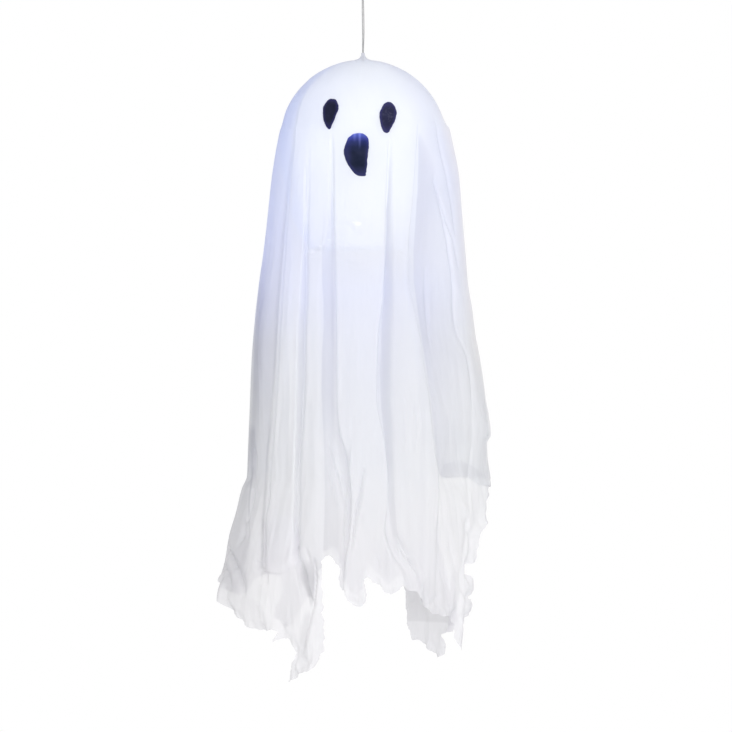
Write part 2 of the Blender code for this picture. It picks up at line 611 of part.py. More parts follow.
    # Battery door: hangs from two pins at its top edge, one screw through its tab.
    hinge = at_depth((CAVITY_X[0] + CAVITY_X[1]) / 2, DOOR_HINGE_Y, DOOR_HINGE_DEPTH)
    door_x = (CAVITY_X[0] + GAP, CAVITY_X[1] - GAP)
    door = solid("battery_door",
                 block_bm(*span(door_x, (6.5 * MM, 8.3 * MM), (DOOR_HINGE_DEPTH, CAVITY_BOTTOM - GAP))),
                 abs_white, hinge, lamp)
    barrel = rod_bm(1.4 * MM, at_depth(door_x[0], DOOR_HINGE_Y, DOOR_HINGE_DEPTH),
                    at_depth(door_x[1], DOOR_HINGE_Y, DOOR_HINGE_DEPTH), 16)
    modify(door, solid("door_barrel", barrel, None, hinge), "UNION")
    pins = rod_bm(0.65 * MM, at_depth(door_x[0] - 1.2 * MM, DOOR_HINGE_Y, DOOR_HINGE_DEPTH),
                  at_depth(door_x[1] + 1.2 * MM, DOOR_HINGE_Y, DOOR_HINGE_DEPTH), 12)
    modify(door, solid("door_pins", pins, None, hinge), "UNION")
    tab = block_bm(*span((-9.0 * MM, 1.0 * MM), (6.5 * MM, 8.3 * MM),
                         (CAVITY_BOTTOM - 3 * MM, CASE_BOTTOM - 1.3 * MM)))
    modify(door, solid("door_tab", tab, None, hinge), "UNION")
    hole = rod_bm(1.4 * MM, at_depth(-4 * MM, 5 * MM, 92.3 * MM), at_depth(-4 * MM, 10 * MM, 92.3 * MM), 12)
    modify(door, solid("door_hole", hole, None, hinge), "DIFFERENCE")
    for i in range(3):
        rib = block_bm(*span((-12 * MM, 4 * MM), (8.1 * MM, 8.8 * MM),
                             ((58 + 5 * i) * MM, (59.6 + 5 * i) * MM)))
        modify(door, solid("door_rib_%d" % i, rib, None, hinge), "UNION")
    screw("door_screw", at_depth(-4 * MM, 8.6 * MM, 92.3 * MM), (0, -1, 0), screw_steel, lamp,
          2.3 * MM, 1.4 * MM, 1.0 * MM, 5.0 * MM)

    # Screws that hold the case under the yoke, and the board under the case.
    for side, x in (("left", -8 * MM), ("right", 8 * MM)):
        screw("yoke_screw_" + side, at_depth(x, 0, YOKE_FOOT_TOP - GAP), (0, 0, -1), screw_steel,
              lamp, 2.3 * MM, 1.4 * MM, 0.9 * MM, 6.2 * MM)
    for side, x in (("left", -18 * MM), ("right", 15 * MM)):
        screw("board_screw_" + side, at_depth(x, 0, BOARD_TOP + 1.2 * MM + GAP), (0, 0, 1),
              screw_steel, lamp, 2.1 * MM, 1.2 * MM, 0.85 * MM, 6.5 * MM)

    # Three cells, their springs and their contact plates.
    low_plate, high_plate = CAVITY_BOTTOM - GAP, CAVITY_TOP + GAP
    for i, x in enumerate(CELL_X):
        nib_up = i != 1
        profile = [(0, 0), (CELL_R - 0.5 * MM, 0), (CELL_R, 0.5 * MM), (CELL_R, CELL_L - 0.7 * MM),
                   (CELL_R - 0.7 * MM, CELL_L), (1.9 * MM, CELL_L), (1.7 * MM, CELL_L + CELL_NIB_H),
                   (0, CELL_L + CELL_NIB_H)]
        bm = turned_bm(profile, 16, closed=False)
        total = CELL_L + CELL_NIB_H
        if nib_up:
            top = high_plate + 0.4 * MM + GAP
            move_bm(bm, at_depth(x, CELL_Y, top + total))
            spring = (top + total + GAP, low_plate - 0.4 * MM - GAP)
        else:
            turn_bm(bm, 180, "X")
            bottom = low_plate - 0.4 * MM - GAP
            move_bm(bm, at_depth(x, CELL_Y, bottom - total))
            spring = (high_plate + 0.4 * MM + GAP, bottom - total - GAP)
        solid("battery_%d" % (i + 1), bm, cell_skin, at_depth(x, CELL_Y, 64 * MM), lamp)
        wire = 0.28 * MM
        wide, narrow = 3.3 * MM, 2.2 * MM
        radii = (wide, narrow) if nib_up else (narrow, wide)
        coil = helix((x, CELL_Y), radii[0], radii[1], CROWN_Z - spring[1] + wire,
                     CROWN_Z - spring[0] - wire, 2.6)
        tube("contact_spring_%d" % (i + 1), coil, wire, nickel, at_depth(x, CELL_Y, spring[1]),
             lamp, resolution=0)
    for name, xs, depth in (
            ("contact_top_bridge", (-20.6, 0.4), (high_plate, high_plate + 0.4 * MM)),
            ("contact_top_terminal", (3.8, 12.6), (high_plate, high_plate + 0.4 * MM)),
            ("contact_bottom_terminal", (-20.6, -11.8), (low_plate - 0.4 * MM, low_plate)),
            ("contact_bottom_bridge", (-8.4, 12.6), (low_plate - 0.4 * MM, low_plate))):
        solid(name, block_bm(*span((xs[0] * MM, xs[1] * MM), (-5.7 * MM, 3.1 * MM), depth)),
              nickel, at_depth(xs[0] * MM, CELL_Y, depth[0]), lamp, smooth=False)

    # Slide switch: body with a groove, cover plate with a slot, and the slider.
    body = solid("switch_body", block_bm(*span((17.4 * MM, 23.0 * MM), (-4 * MM, 5.9 * MM),
                                               (SWITCH_DEPTH - 10 * MM, SWITCH_DEPTH + 8 * MM))),
                 switch_black, at_depth(SWITCH_X, 0, SWITCH_DEPTH), lamp)
    groove = block_bm(*span((SWITCH_X - 2.0 * MM, SWITCH_X + 2.0 * MM), (3.9 * MM, 8 * MM),
                            (SWITCH_DEPTH - 2.8 * MM - SWITCH_TRAVEL, SWITCH_DEPTH + 2.8 * MM)))
    modify(body, solid("switch_groove", groove, None, at_depth(SWITCH_X, 0, SWITCH_DEPTH)), "DIFFERENCE")
    plate = solid("switch_plate", block_bm(*span((BAY_X[0] + GAP, BAY_X[1] - GAP), (6.5 * MM, 8.2 * MM),
                                                 (BAY_TOP + GAP, CAVITY_BOTTOM - GAP))),
                  abs_white, at_depth(SWITCH_X, 6.5 * MM, SWITCH_DEPTH), lamp)
    slot = block_bm(*span((SWITCH_X - 1.3 * MM, SWITCH_X + 1.3 * MM), (5 * MM, 10 * MM),
                          (SWITCH_DEPTH - 1.8 * MM - SWITCH_TRAVEL, SWITCH_DEPTH + 1.8 * MM)))
    modify(plate, solid("plate_slot", slot, None, at_depth(SWITCH_X, 6.5 * MM, SWITCH_DEPTH)), "DIFFERENCE")
    slider = solid("switch_slider", block_bm(*span((SWITCH_X - 1.7 * MM, SWITCH_X + 1.7 * MM),
                                                   (4.2 * MM, 6.2 * MM),
                                                   (SWITCH_DEPTH - 2.5 * MM, SWITCH_DEPTH + 2.5 * MM))),
                   switch_black, at_depth(SWITCH_X, 5 * MM, SWITCH_DEPTH), lamp)
    knob = block_bm(*span((SWITCH_X - 1.0 * MM, SWITCH_X + 1.0 * MM), (5 * MM, 10.4 * MM),
                          (SWITCH_DEPTH - 1.5 * MM, SWITCH_DEPTH + 1.5 * MM)))
    modify(slider, solid("slider_knob", knob, None, at_depth(SWITCH_X, 5 * MM, SWITCH_DEPTH)), "UNION")

    # Circuit board with its three LEDs and a resistor, under a clear lens.
    board = solid("circuit_board", block_bm(*span((-22.6 * MM, 22.6 * MM), (-6.4 * MM, 6.4 * MM),
                                                  (BOARD_TOP, BOARD_TOP + 1.2 * MM))),
                  board_green, at_depth(0, 0, BOARD_TOP), lamp, smooth=False)
    for side, x in (("left", -18 * MM), ("right", 15 * MM)):
        hole = rod_bm(1.2 * MM, at_depth(x, 0, BOARD_TOP - MM), at_depth(x, 0, BOARD_TOP + 3 * MM), 12)
        modify(board, solid("board_hole_" + side, hole, None, at_depth(0, 0, BOARD_TOP)), "DIFFERENCE")
    for name, x in zip(("led_left", "led_middle", "led_right"), LED_X):
        base = BOARD_TOP + 1.2 * MM + GAP
        profile = [(0, 0), (2.9 * MM, 0), (2.9 * MM, -1.0 * MM), (2.5 * MM, -1.0 * MM),
                   (2.5 * MM, -5.4 * MM)]
        for k in range(1, 4):
            a = math.radians(90 * k / 3)
            profile.append((2.5 * MM * math.cos(a), -5.4 * MM - 2.5 * MM * math.sin(a)))
        bm = turned_bm(profile, 12, closed=False)
        solid(name, move_bm(bm, at_depth(x, 0, base)), led_clear, at_depth(x, 0, base), lamp)
    bm = turned_bm(((0, -3 * MM), (0.8 * MM, -3 * MM), (1.0 * MM, -2.4 * MM), (0.85 * MM, 0),
                    (1.0 * MM, 2.4 * MM), (0.8 * MM, 3 * MM), (0, 3 * MM)), 12, closed=False)
    turn_bm(bm, 90, "Y")
    centre = at_depth(-6.5 * MM, 0, BOARD_TOP - 1.3 * MM)
    solid("series_resistor", move_bm(bm, centre), tan, centre, lamp)
    lens = solid("lamp_lens", block_bm(*span((-24.6 * MM, 24.6 * MM), (-8.3 * MM, 8.3 * MM),
                                             (CASE_BOTTOM + GAP, LENS_BOTTOM)), 3.0 * MM, 2),
                 lens_clear, at_depth(0, 0, CASE_BOTTOM), lamp)
    hollow = block_bm(*span((-23.5 * MM, 23.5 * MM), (-7.2 * MM, 7.2 * MM),
                            (CASE_BOTTOM - 6 * MM, LENS_BOTTOM - 1.1 * MM)), 2.0 * MM, 2)
    modify(lens, solid("lens_hollow", hollow, None, at_depth(0, 0, CASE_BOTTOM)), "DIFFERENCE")
    trim = block_bm(*span((-30 * MM, 30 * MM), (-12 * MM, 12 * MM),
                          (CASE_BOTTOM - 2 * MM, CASE_BOTTOM + 0.4 * MM + GAP)))
    modify(lens, solid("lens_trim", trim, None, at_depth(0, 0, CASE_BOTTOM)), "DIFFERENCE")

    # Two leads from the switch, through the case's floor to the board.
    for name, y, mat in (("lead_red", -3 * MM, red), ("lead_black", 3 * MM, black)):
        keys = [at_depth(SWITCH_X, y * 0.6, SWITCH_DEPTH + 8.4 * MM),
                at_depth(SWITCH_X + 0.6 * MM, y * 0.6, SWITCH_DEPTH + 12 * MM),
                at_depth(SWITCH_X, y, CAVITY_BOTTOM - 1 * MM),
                at_depth(SWITCH_X, y, CASE_BOTTOM),
                at_depth(SWITCH_X, y, BOARD_TOP - GAP)]
        tube(name, smooth_path(keys, 2.4 * MM), 0.5 * MM, mat, keys[0], lamp, resolution=1)


build()
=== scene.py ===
# Looks of the hanging ghost decoration: cord, draped cloth, milky globe, felt face and lamp.
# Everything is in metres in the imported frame: +Z up, the face towards -Y, origin in the ring.
import math

import bmesh
import bpy
import numpy as np
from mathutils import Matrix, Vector, noise
from mathutils.bvhtree import BVHTree
from mathutils.geometry import delaunay_2d_cdt


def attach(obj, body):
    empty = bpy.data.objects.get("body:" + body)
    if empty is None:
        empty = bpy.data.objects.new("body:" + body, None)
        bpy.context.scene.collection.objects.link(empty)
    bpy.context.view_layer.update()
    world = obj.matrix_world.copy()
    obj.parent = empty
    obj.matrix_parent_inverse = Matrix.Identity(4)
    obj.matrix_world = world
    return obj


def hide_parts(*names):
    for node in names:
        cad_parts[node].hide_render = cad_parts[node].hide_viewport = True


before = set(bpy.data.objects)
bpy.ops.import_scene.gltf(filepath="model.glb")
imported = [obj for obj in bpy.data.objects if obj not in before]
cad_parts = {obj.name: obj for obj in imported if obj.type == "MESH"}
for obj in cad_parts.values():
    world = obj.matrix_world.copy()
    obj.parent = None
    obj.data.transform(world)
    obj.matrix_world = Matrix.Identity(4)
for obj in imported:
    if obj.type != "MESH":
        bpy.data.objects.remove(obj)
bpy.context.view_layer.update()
scene = bpy.context.scene
MM = 0.001

# ------------------------------------------------------------ camera
PX = 1.1236 * MM              # one picture pixel on the plane through the cord
CAM_D = 4.0
CAM_X, CAM_Z = 3.0 * PX, -0.1277 - 306 * PX
CROWN_Z = -0.1277

cam_data = bpy.data.cameras.new("camera")
cam_data.sensor_width = 36.0
cam_data.lens = 36.0 * CAM_D / (732 * PX)
cam_data.clip_end = 60.0
camera = bpy.data.objects.new("camera", cam_data)
camera.location = (CAM_X, -CAM_D, CAM_Z)
camera.rotation_euler = (math.pi / 2, 0, 0)
scene.collection.objects.link(camera)
scene.camera = camera


def to_px(p):
    """Picture coordinates, in pixels, of points (n x 3) in the frame."""
    k = CAM_D / (CAM_D + p[..., 1]) / PX
    return 366 + (p[..., 0] - CAM_X) * k, 366 - (p[..., 2] - CAM_Z) * k


def from_px(px, py, y):
    """The point on the plane at y that the camera sees at a pixel."""
    k = (CAM_D + y) / CAM_D * PX
    return CAM_X + (px - 366) * k, CAM_Z - (py - 366) * k


# ------------------------------------------------------------ small helpers
def smoothstep(low, high, value):
    t = np.clip((np.asarray(value, float) - low) / (high - low), 0, 1)
    return t * t * (3 - 2 * t)


def curve_through(keys, at):
    """Monotone-friendly cubic through (where, value) keys."""
    keys = np.asarray(keys, float)
    x, y = keys[:, 0], keys[:, 1]
    at = np.asarray(at, float)
    d = np.diff(y) / np.diff(x)
    m = np.zeros(len(x))
    m[1:-1] = np.where(d[:-1] * d[1:] > 0, 2 * d[:-1] * d[1:] / (d[:-1] + d[1:] + 1e-30), 0)
    m[0], m[-1] = d[0], d[-1]
    a = np.clip(at, x[0], x[-1])
    i = np.clip(np.searchsorted(x, a, side="right") - 1, 0, len(x) - 2)
    h = x[i + 1] - x[i]
    t = (a - x[i]) / h
    return ((2 * t ** 3 - 3 * t ** 2 + 1) * y[i] + (t ** 3 - 2 * t ** 2 + t) * h * m[i]
            + (-2 * t ** 3 + 3 * t ** 2) * y[i + 1] + (t ** 3 - t ** 2) * h * m[i + 1])


def new_object(name, verts, faces, mat, smooth=True, uv=None):
    mesh = bpy.data.meshes.new(name)
    mesh.from_pydata([tuple(map(float, v)) for v in verts], [], [tuple(f) for f in faces])
    if smooth:
        mesh.polygons.foreach_set("use_smooth", [True] * len(mesh.polygons))
    if uv is not None:
        layer = mesh.uv_layers.new(name="UVMap")
        idx = np.empty(len(mesh.loops), np.int32)
        mesh.loops.foreach_get("vertex_index", idx)
        layer.data.foreach_set("uv", np.asarray(uv, np.float32)[idx].ravel())
    mesh.update()
    obj = bpy.data.objects.new(name, mesh)
    scene.collection.objects.link(obj)
    obj.data.materials.append(mat)
    return obj


# ------------------------------------------------------------ materials
def new_material(name):
    mat = bpy.data.materials.new(name)
    mat.use_nodes = True
    tree = mat.node_tree
    tree.nodes.clear()
    return mat, tree, tree.nodes.new("ShaderNodeOutputMaterial")


def node(tree, kind, **sets):
    made = tree.nodes.new(kind)
    for key, value in sets.items():
        if key in made.inputs.keys():
            made.inputs[key].default_value = value
        else:
            setattr(made, key, value)
    return made


def ramp(tree, source, stops, interpolation="LINEAR"):
    made = tree.nodes.new("ShaderNodeValToRGB")
    made.color_ramp.interpolation = interpolation
    while len(made.color_ramp.elements) < len(stops):
        made.color_ramp.elements.new(0.5)
    for element, (at, colour) in zip(made.color_ramp.elements, stops):
        element.position = at
        element.color = (*colour, 1) if len(colour) == 3 else colour
    tree.links.new(source, made.inputs["Fac"])
    return made


def bumped(tree, height, strength, distance, normal=None):
    made = node(tree, "ShaderNodeBump", Strength=strength, Distance=distance)
    tree.links.new(height, made.inputs["Height"])
    if normal is not None:
        tree.links.new(normal, made.inputs["Normal"])
    return made.outputs["Normal"]


def mapped(tree, source, low, high, to_low, to_high, clamp=True):
    made = node(tree, "ShaderNodeMapRange", clamp=clamp)
    for name, value in (("From Min", low), ("From Max", high), ("To Min", to_low), ("To Max", to_high)):
        made.inputs[name].default_value = value
    tree.links.new(source, made.inputs["Value"])
    return made.outputs["Result"]


def product(tree, a, b):
    made = node(tree, "ShaderNodeMath", operation="MULTIPLY")
    tree.links.new(a, made.inputs[0])
    tree.links.new(b, made.inputs[1])
    return made.outputs["Value"]


def moulded(name, low, high, roughness, grain=900.0, bump=0.15, metallic=0.0,
            specular=0.5, coat=0.0, distance=0.0001):
    """Moulded plastic, metal or lacquer: two close tones, fine grain and uneven gloss."""
    mat, tree, out = new_material(name)
    coord = node(tree, "ShaderNodeTexCoord")
    cloud = node(tree, "ShaderNodeTexNoise", Scale=60.0, Detail=4.0)
    fine = node(tree, "ShaderNodeTexNoise", Scale=grain, Detail=3.0)
    for n in (cloud, fine):
        tree.links.new(coord.outputs["Object"], n.inputs["Vector"])
    tone = ramp(tree, cloud.outputs["Fac"], ((0.3, low), (0.7, high)))
    gloss = ramp(tree, cloud.outputs["Fac"],
                 ((0.25, (roughness * 0.85,) * 3), (0.75, (min(roughness * 1.2, 1),) * 3)))
    shader = node(tree, "ShaderNodeBsdfPrincipled", Metallic=metallic)
    shader.inputs["Specular IOR Level"].default_value = specular
    shader.inputs["Coat Weight"].default_value = coat
    tree.links.new(tone.outputs["Color"], shader.inputs["Base Color"])
    tree.links.new(gloss.outputs["Color"], shader.inputs["Roughness"])
    tree.links.new(bumped(tree, fine.outputs["Fac"], bump, distance), shader.inputs["Normal"])
    tree.links.new(shader.outputs["BSDF"], out.inputs["Surface"])
    return mat


def cord_material():
    mat, tree, out = new_material("cord_string")
    coord = node(tree, "ShaderNodeTexCoord")
    fibre = node(tree, "ShaderNodeTexNoise", Scale=2600.0, Detail=3.0)
    cloud = node(tree, "ShaderNodeTexNoise", Scale=240.0, Detail=3.0)
    for n in (fibre, cloud):
        tree.links.new(coord.outputs["Object"], n.inputs["Vector"])
    tone = ramp(tree, cloud.outputs["Fac"], ((0.3, (0.36, 0.36, 0.37)), (0.7, (0.50, 0.50, 0.50))))
    shader = node(tree, "ShaderNodeBsdfPrincipled", Roughness=0.75)
    shader.inputs["Specular IOR Level"].default_value = 0.25
    shader.inputs["Sheen Weight"].default_value = 0.15
    tree.links.new(tone.outputs["Color"], shader.inputs["Base Color"])
    tree.links.new(bumped(tree, fibre.outputs["Fac"], 0.5, 0.0002), shader.inputs["Normal"])
    tree.links.new(shader.outputs["BSDF"], out.inputs["Surface"])
    return mat


# blue lamplight in the cloth at the left, middle and right, against the picture row
GLOW_ROWS = ((60, (0.28, 0.08, 0.10)), (85, (0.34, 0.04, 0.10)), (130, (0.33, 0.0, 0.12)), (180, (0.31, 0.0, 0.13)),
             (235, (0.33, 0.04, 0.10)), (290, (0.19, 0.17, 0.07)), (345, (0.03, 0.11, 0.02)),
             (400, (0.0, 0.07, 0.01)), (460, (0.0, 0.05, 0.0)), (530, (0.0, 0.01, 0.01)))
ROWS = 610      # picture rows from the crown that the cloth's colour tables cover
GLINTS = ((358.3, 224.3, 4.0, 0.26), (354.5, 222.8, 2.6, 0.12), (311.5, 251.8, 4.4, 0.20), (320.3, 246.3, 2.0, 0.12),
          (329.0, 240.0, 2.2, 0.10))
# The cloth's right edge catches the light: picture row, where that starts in mm right of the
# cord, and how much.
EDGE_ROWS = ((100, 66, 0.0), (115, 75, 0.5), (130, 84, 1.0), (150, 90, 1.0), (180, 97, 1.0), (225, 101, 1.0),
             (250, 103, 0.9), (275, 105, 0.8), (300, 108, 0.7), (330, 112, 0.55), (360, 115, 0.4), (400, 118, 0.0))
# Painted shade on the lower folds beside the ones that lap over them: which way from the lap the
# lower fold lies, how the painted shade runs over its width, and by picture row where the lap runs in
# mm right of the cord, how much darker the fold is painted there and how many mm wide.
PAINTED_FOLD_SHADE = (
    dict(way=-1, flat=0.0, first=0.6, last=1.0, rows=(
        (90, -52, 0.0, 30), (110, -65.5, 0.0, 30), (145, -72.2, 0.0, 30), (165, -78.5, 0.01, 30),
        (190, -81.5, 0.02, 30), (230, -85, 0.05, 30), (265, -88, 0.13, 30), (300, -91, 0.22, 30),
        (345, -94, 0.25, 30), (390, -98.5, 0.20, 30), (420, -101.5, 0.16, 30), (450, -104, 0.12, 30),
        (500, -108, 0.06, 30), (540, -110, 0.0, 30))),
    # the outermost fold on the left, its edge, and the fine fold beside it
    dict(way=-1, flat=0.0, first=0.25, last=1.0, rows=(
        (423, -117.9, 0.0, 7.5), (431, -117.9, 0.20, 7.5), (470, -117.9, 0.20, 7.5), (482, -118.5, 0.08, 7.5),
        (488, -119, 0.0, 7.5))),
    dict(way=-1, flat=0.9, first=1.0, last=1.0, soft=6.0, rows=(
        (474, -120.6, 0.0, 20), (486, -122.0, 0.12, 20), (502, -124.0, 0.11, 20), (517, -124.0, 0.11, 20),
        (531, -123.5, 0.11, 20), (546, -123.5, 0.12, 20), (558, -124.5, 0.11, 20), (571, -124.5, 0.10, 20),
        (580, -124.5, 0.10, 20), (590, -124.0, 0.04, 20), (602, -124, 0.0, 20))),
    dict(way=-1, flat=0.4, first=1.0, last=0.0, rows=(
        (464, -120.6, 0.0, 3.4), (473, -121.8, 0.12, 3.4), (487, -123.4, 0.20, 3.4), (502, -126.2, 0.26, 3.4),
        (510, -127.3, 0.16, 3.4), (517, -128.4, 0.08, 3.4), (525, -129, 0.0, 3.4))),
    dict(way=1, flat=0.4, first=1.0, last=0.0, rows=(
        (414, -102.4, 0.0, 4.5), (429, -104.5, 0.12, 4.5), (443, -106.7, 0.12, 4.5), (458, -108.4, 0.09, 4.5),
        (473, -109.0, 0.07, 4.5), (487, -109.5, 0.13, 4.5), (502, -110.7, 0.13, 4.5), (517, -112.7, 0.13, 4.5),
        (531, -113.2, 0.12, 4.5), (546, -113.2, 0.11, 4.5), (556, -113.2, 0.14, 4.5), (562, -112.6, 0.05, 4.5),
        (565, -112.4, 0.0, 4.5))),
    # the fine line beside the middle panel
    dict(way=1, flat=0.7, first=1.0, last=0.0, rows=(
        (146, -35.6, 0.0, 5), (160, -35.6, 0.05, 5), (194, -35.6, 0.06, 5), (207, -35.6, 0.12, 5), (223, -35.6, 0.13, 5),
        (238, -35.6, 0.11, 5), (252, -35.4, 0.07, 5), (266, -35.4, 0.04, 5), (282, -35.4, 0.05, 5), (301, -35.0, 0.06, 5),
        (331, -35.0, 0.07, 5), (370, -35.0, 0.05, 5), (400, -35.0, 0.03, 5), (425, -35.0, 0.0, 5))),
    # painted shade on the side panel's folded-up hem
    dict(way=1, flat=0.9, first=1.0, last=0.0, rows=(
        (459.2, 101, 0.0, 6), (460.6, 96, 0.035, 17), (462.4, 88.5, 0.05, 29), (465.5, 86.0, 0.055, 39),
        (469.6, 85.0, 0.06, 46), (473.5, 85.0, 0.065, 52), (475.8, 85.0, 0.065, 54), (477.6, 85.0, 0.0, 54))),
    # painted shade under the fold's hem at the lower left, and down its tail
    dict(way=-1, flat=0.7, first=1.0, last=0.0, rows=(
        (553, -52.0, 0.0, 14), (559.5, -52.0, 0.16, 17), (567.5, -52.0, 0.22, 17.5), (575.2, -52.0, 0.24, 16),
        (585, -52.4, 0.22, 10), (594.7, -53.2, 0.22, 6), (602, -54.5, 0.0, 4))),
    dict(way=-1, flat=0.6, first=1.0, last=0.0, rows=(
        (602, -56.2, 0.0, 8), (608, -57.0, 0.10, 9), (619.2, -58.8, 0.14, 11), (633.8, -60.4, 0.16, 12),
        (648.5, -58.8, 0.13, 14), (662, -59.3, 0.05, 14))),
    dict(way=1, flat=0.9, first=1.0, last=0.0, soft=2.0, rows=(
        (474, 82.5, 0.0, 34), (484, 82.6, 0.045, 34), (520, 82.3, 0.045, 34), (545, 81.0, 0.04, 34),
        (560, 81.0, 0.0, 34))),
    # painted shade down the back's tail, ending at a sharp lower edge
    dict(way=1, flat=0.95, first=1.0, last=1.0, back=True, rows=(
        (584, 44.0, 0.0, 60), (592, 44.0, 0.12, 60), (616, 44.0, 0.13, 60), (627.6, 44.0, 0.13, 60),
        (629.2, 44.0, 0.0, 60))),
    dict(way=1, flat=0.0, first=1.0, last=0.0, rows=(
        (136, 60.4, 0.0, 5), (141, 60.4, 0.12, 6), (147, 60.4, 0.16, 9), (157, 60.4, 0.16, 15),
        (170, 60.2, 0.155, 21), (193, 59.4, 0.15, 27), (223, 57.1, 0.15, 28),
        (252, 55.0, 0.10, 36), (282, 55.0, 0.09, 44), (311, 59.6, 0.105, 52), (340, 64.2, 0.12, 56),
        (370, 69.5, 0.095, 66), (400, 74.5, 0.07, 60), (430, 77.4, 0.07, 50), (462, 80.7, 0.09, 24),
        (478, 84.5, 0.03, 20), (490, 88, 0.0, 20))),
    dict(way=1, flat=0.72, first=1.0, last=0.0, rows=(
        (205, -44.8, 0.0, 13), (222, -45.0, 0.03, 13), (252, -45.8, 0.06, 13), (282, -45.6, 0.10, 13.5),
        (302, -44.0, 0.115, 13), (330, -43.8, 0.12, 13), (352, -45.6, 0.115, 14.5), (390, -46.0, 0.13, 15),
        (410, -45.2, 0.10, 15), (440, -43.4, 0.085, 14), (470, -42.6, 0.085, 14), (490, -42.2, 0.09, 18),
        (520, -43.0, 0.11, 22), (545, -44.0, 0.12, 22), (565, -44.4, 0.06, 20), (580, -44.4, 0.0, 20))),
    dict(way=1, flat=0.1, first=1.0, last=0.0, rows=(
        (150, 28.4, 0.0, 5), (164, 28.4, 0.10, 5), (175, 28.0, 0.16, 5), (194, 26.9, 0.21, 6),
        (214, 24.9, 0.25, 7), (233, 24.9, 0.18, 7), (253, 23.8, 0.06, 7), (275, 23.0, 0.0, 7))),
    dict(way=1, flat=0.0, first=1.0, last=0.0, rows=(
        (205, 24.5, 0.0, 20), (235, 24.3, 0.05, 22), (253, 23.8, 0.075, 24), (291, 22.2, 0.10, 30),
        (330, 19.2, 0.10, 34), (370, 17.6, 0.085, 34), (410, 19.8, 0.06, 34), (450, 24.5, 0.03, 30),
        (480, 26, 0.0, 30))),
)


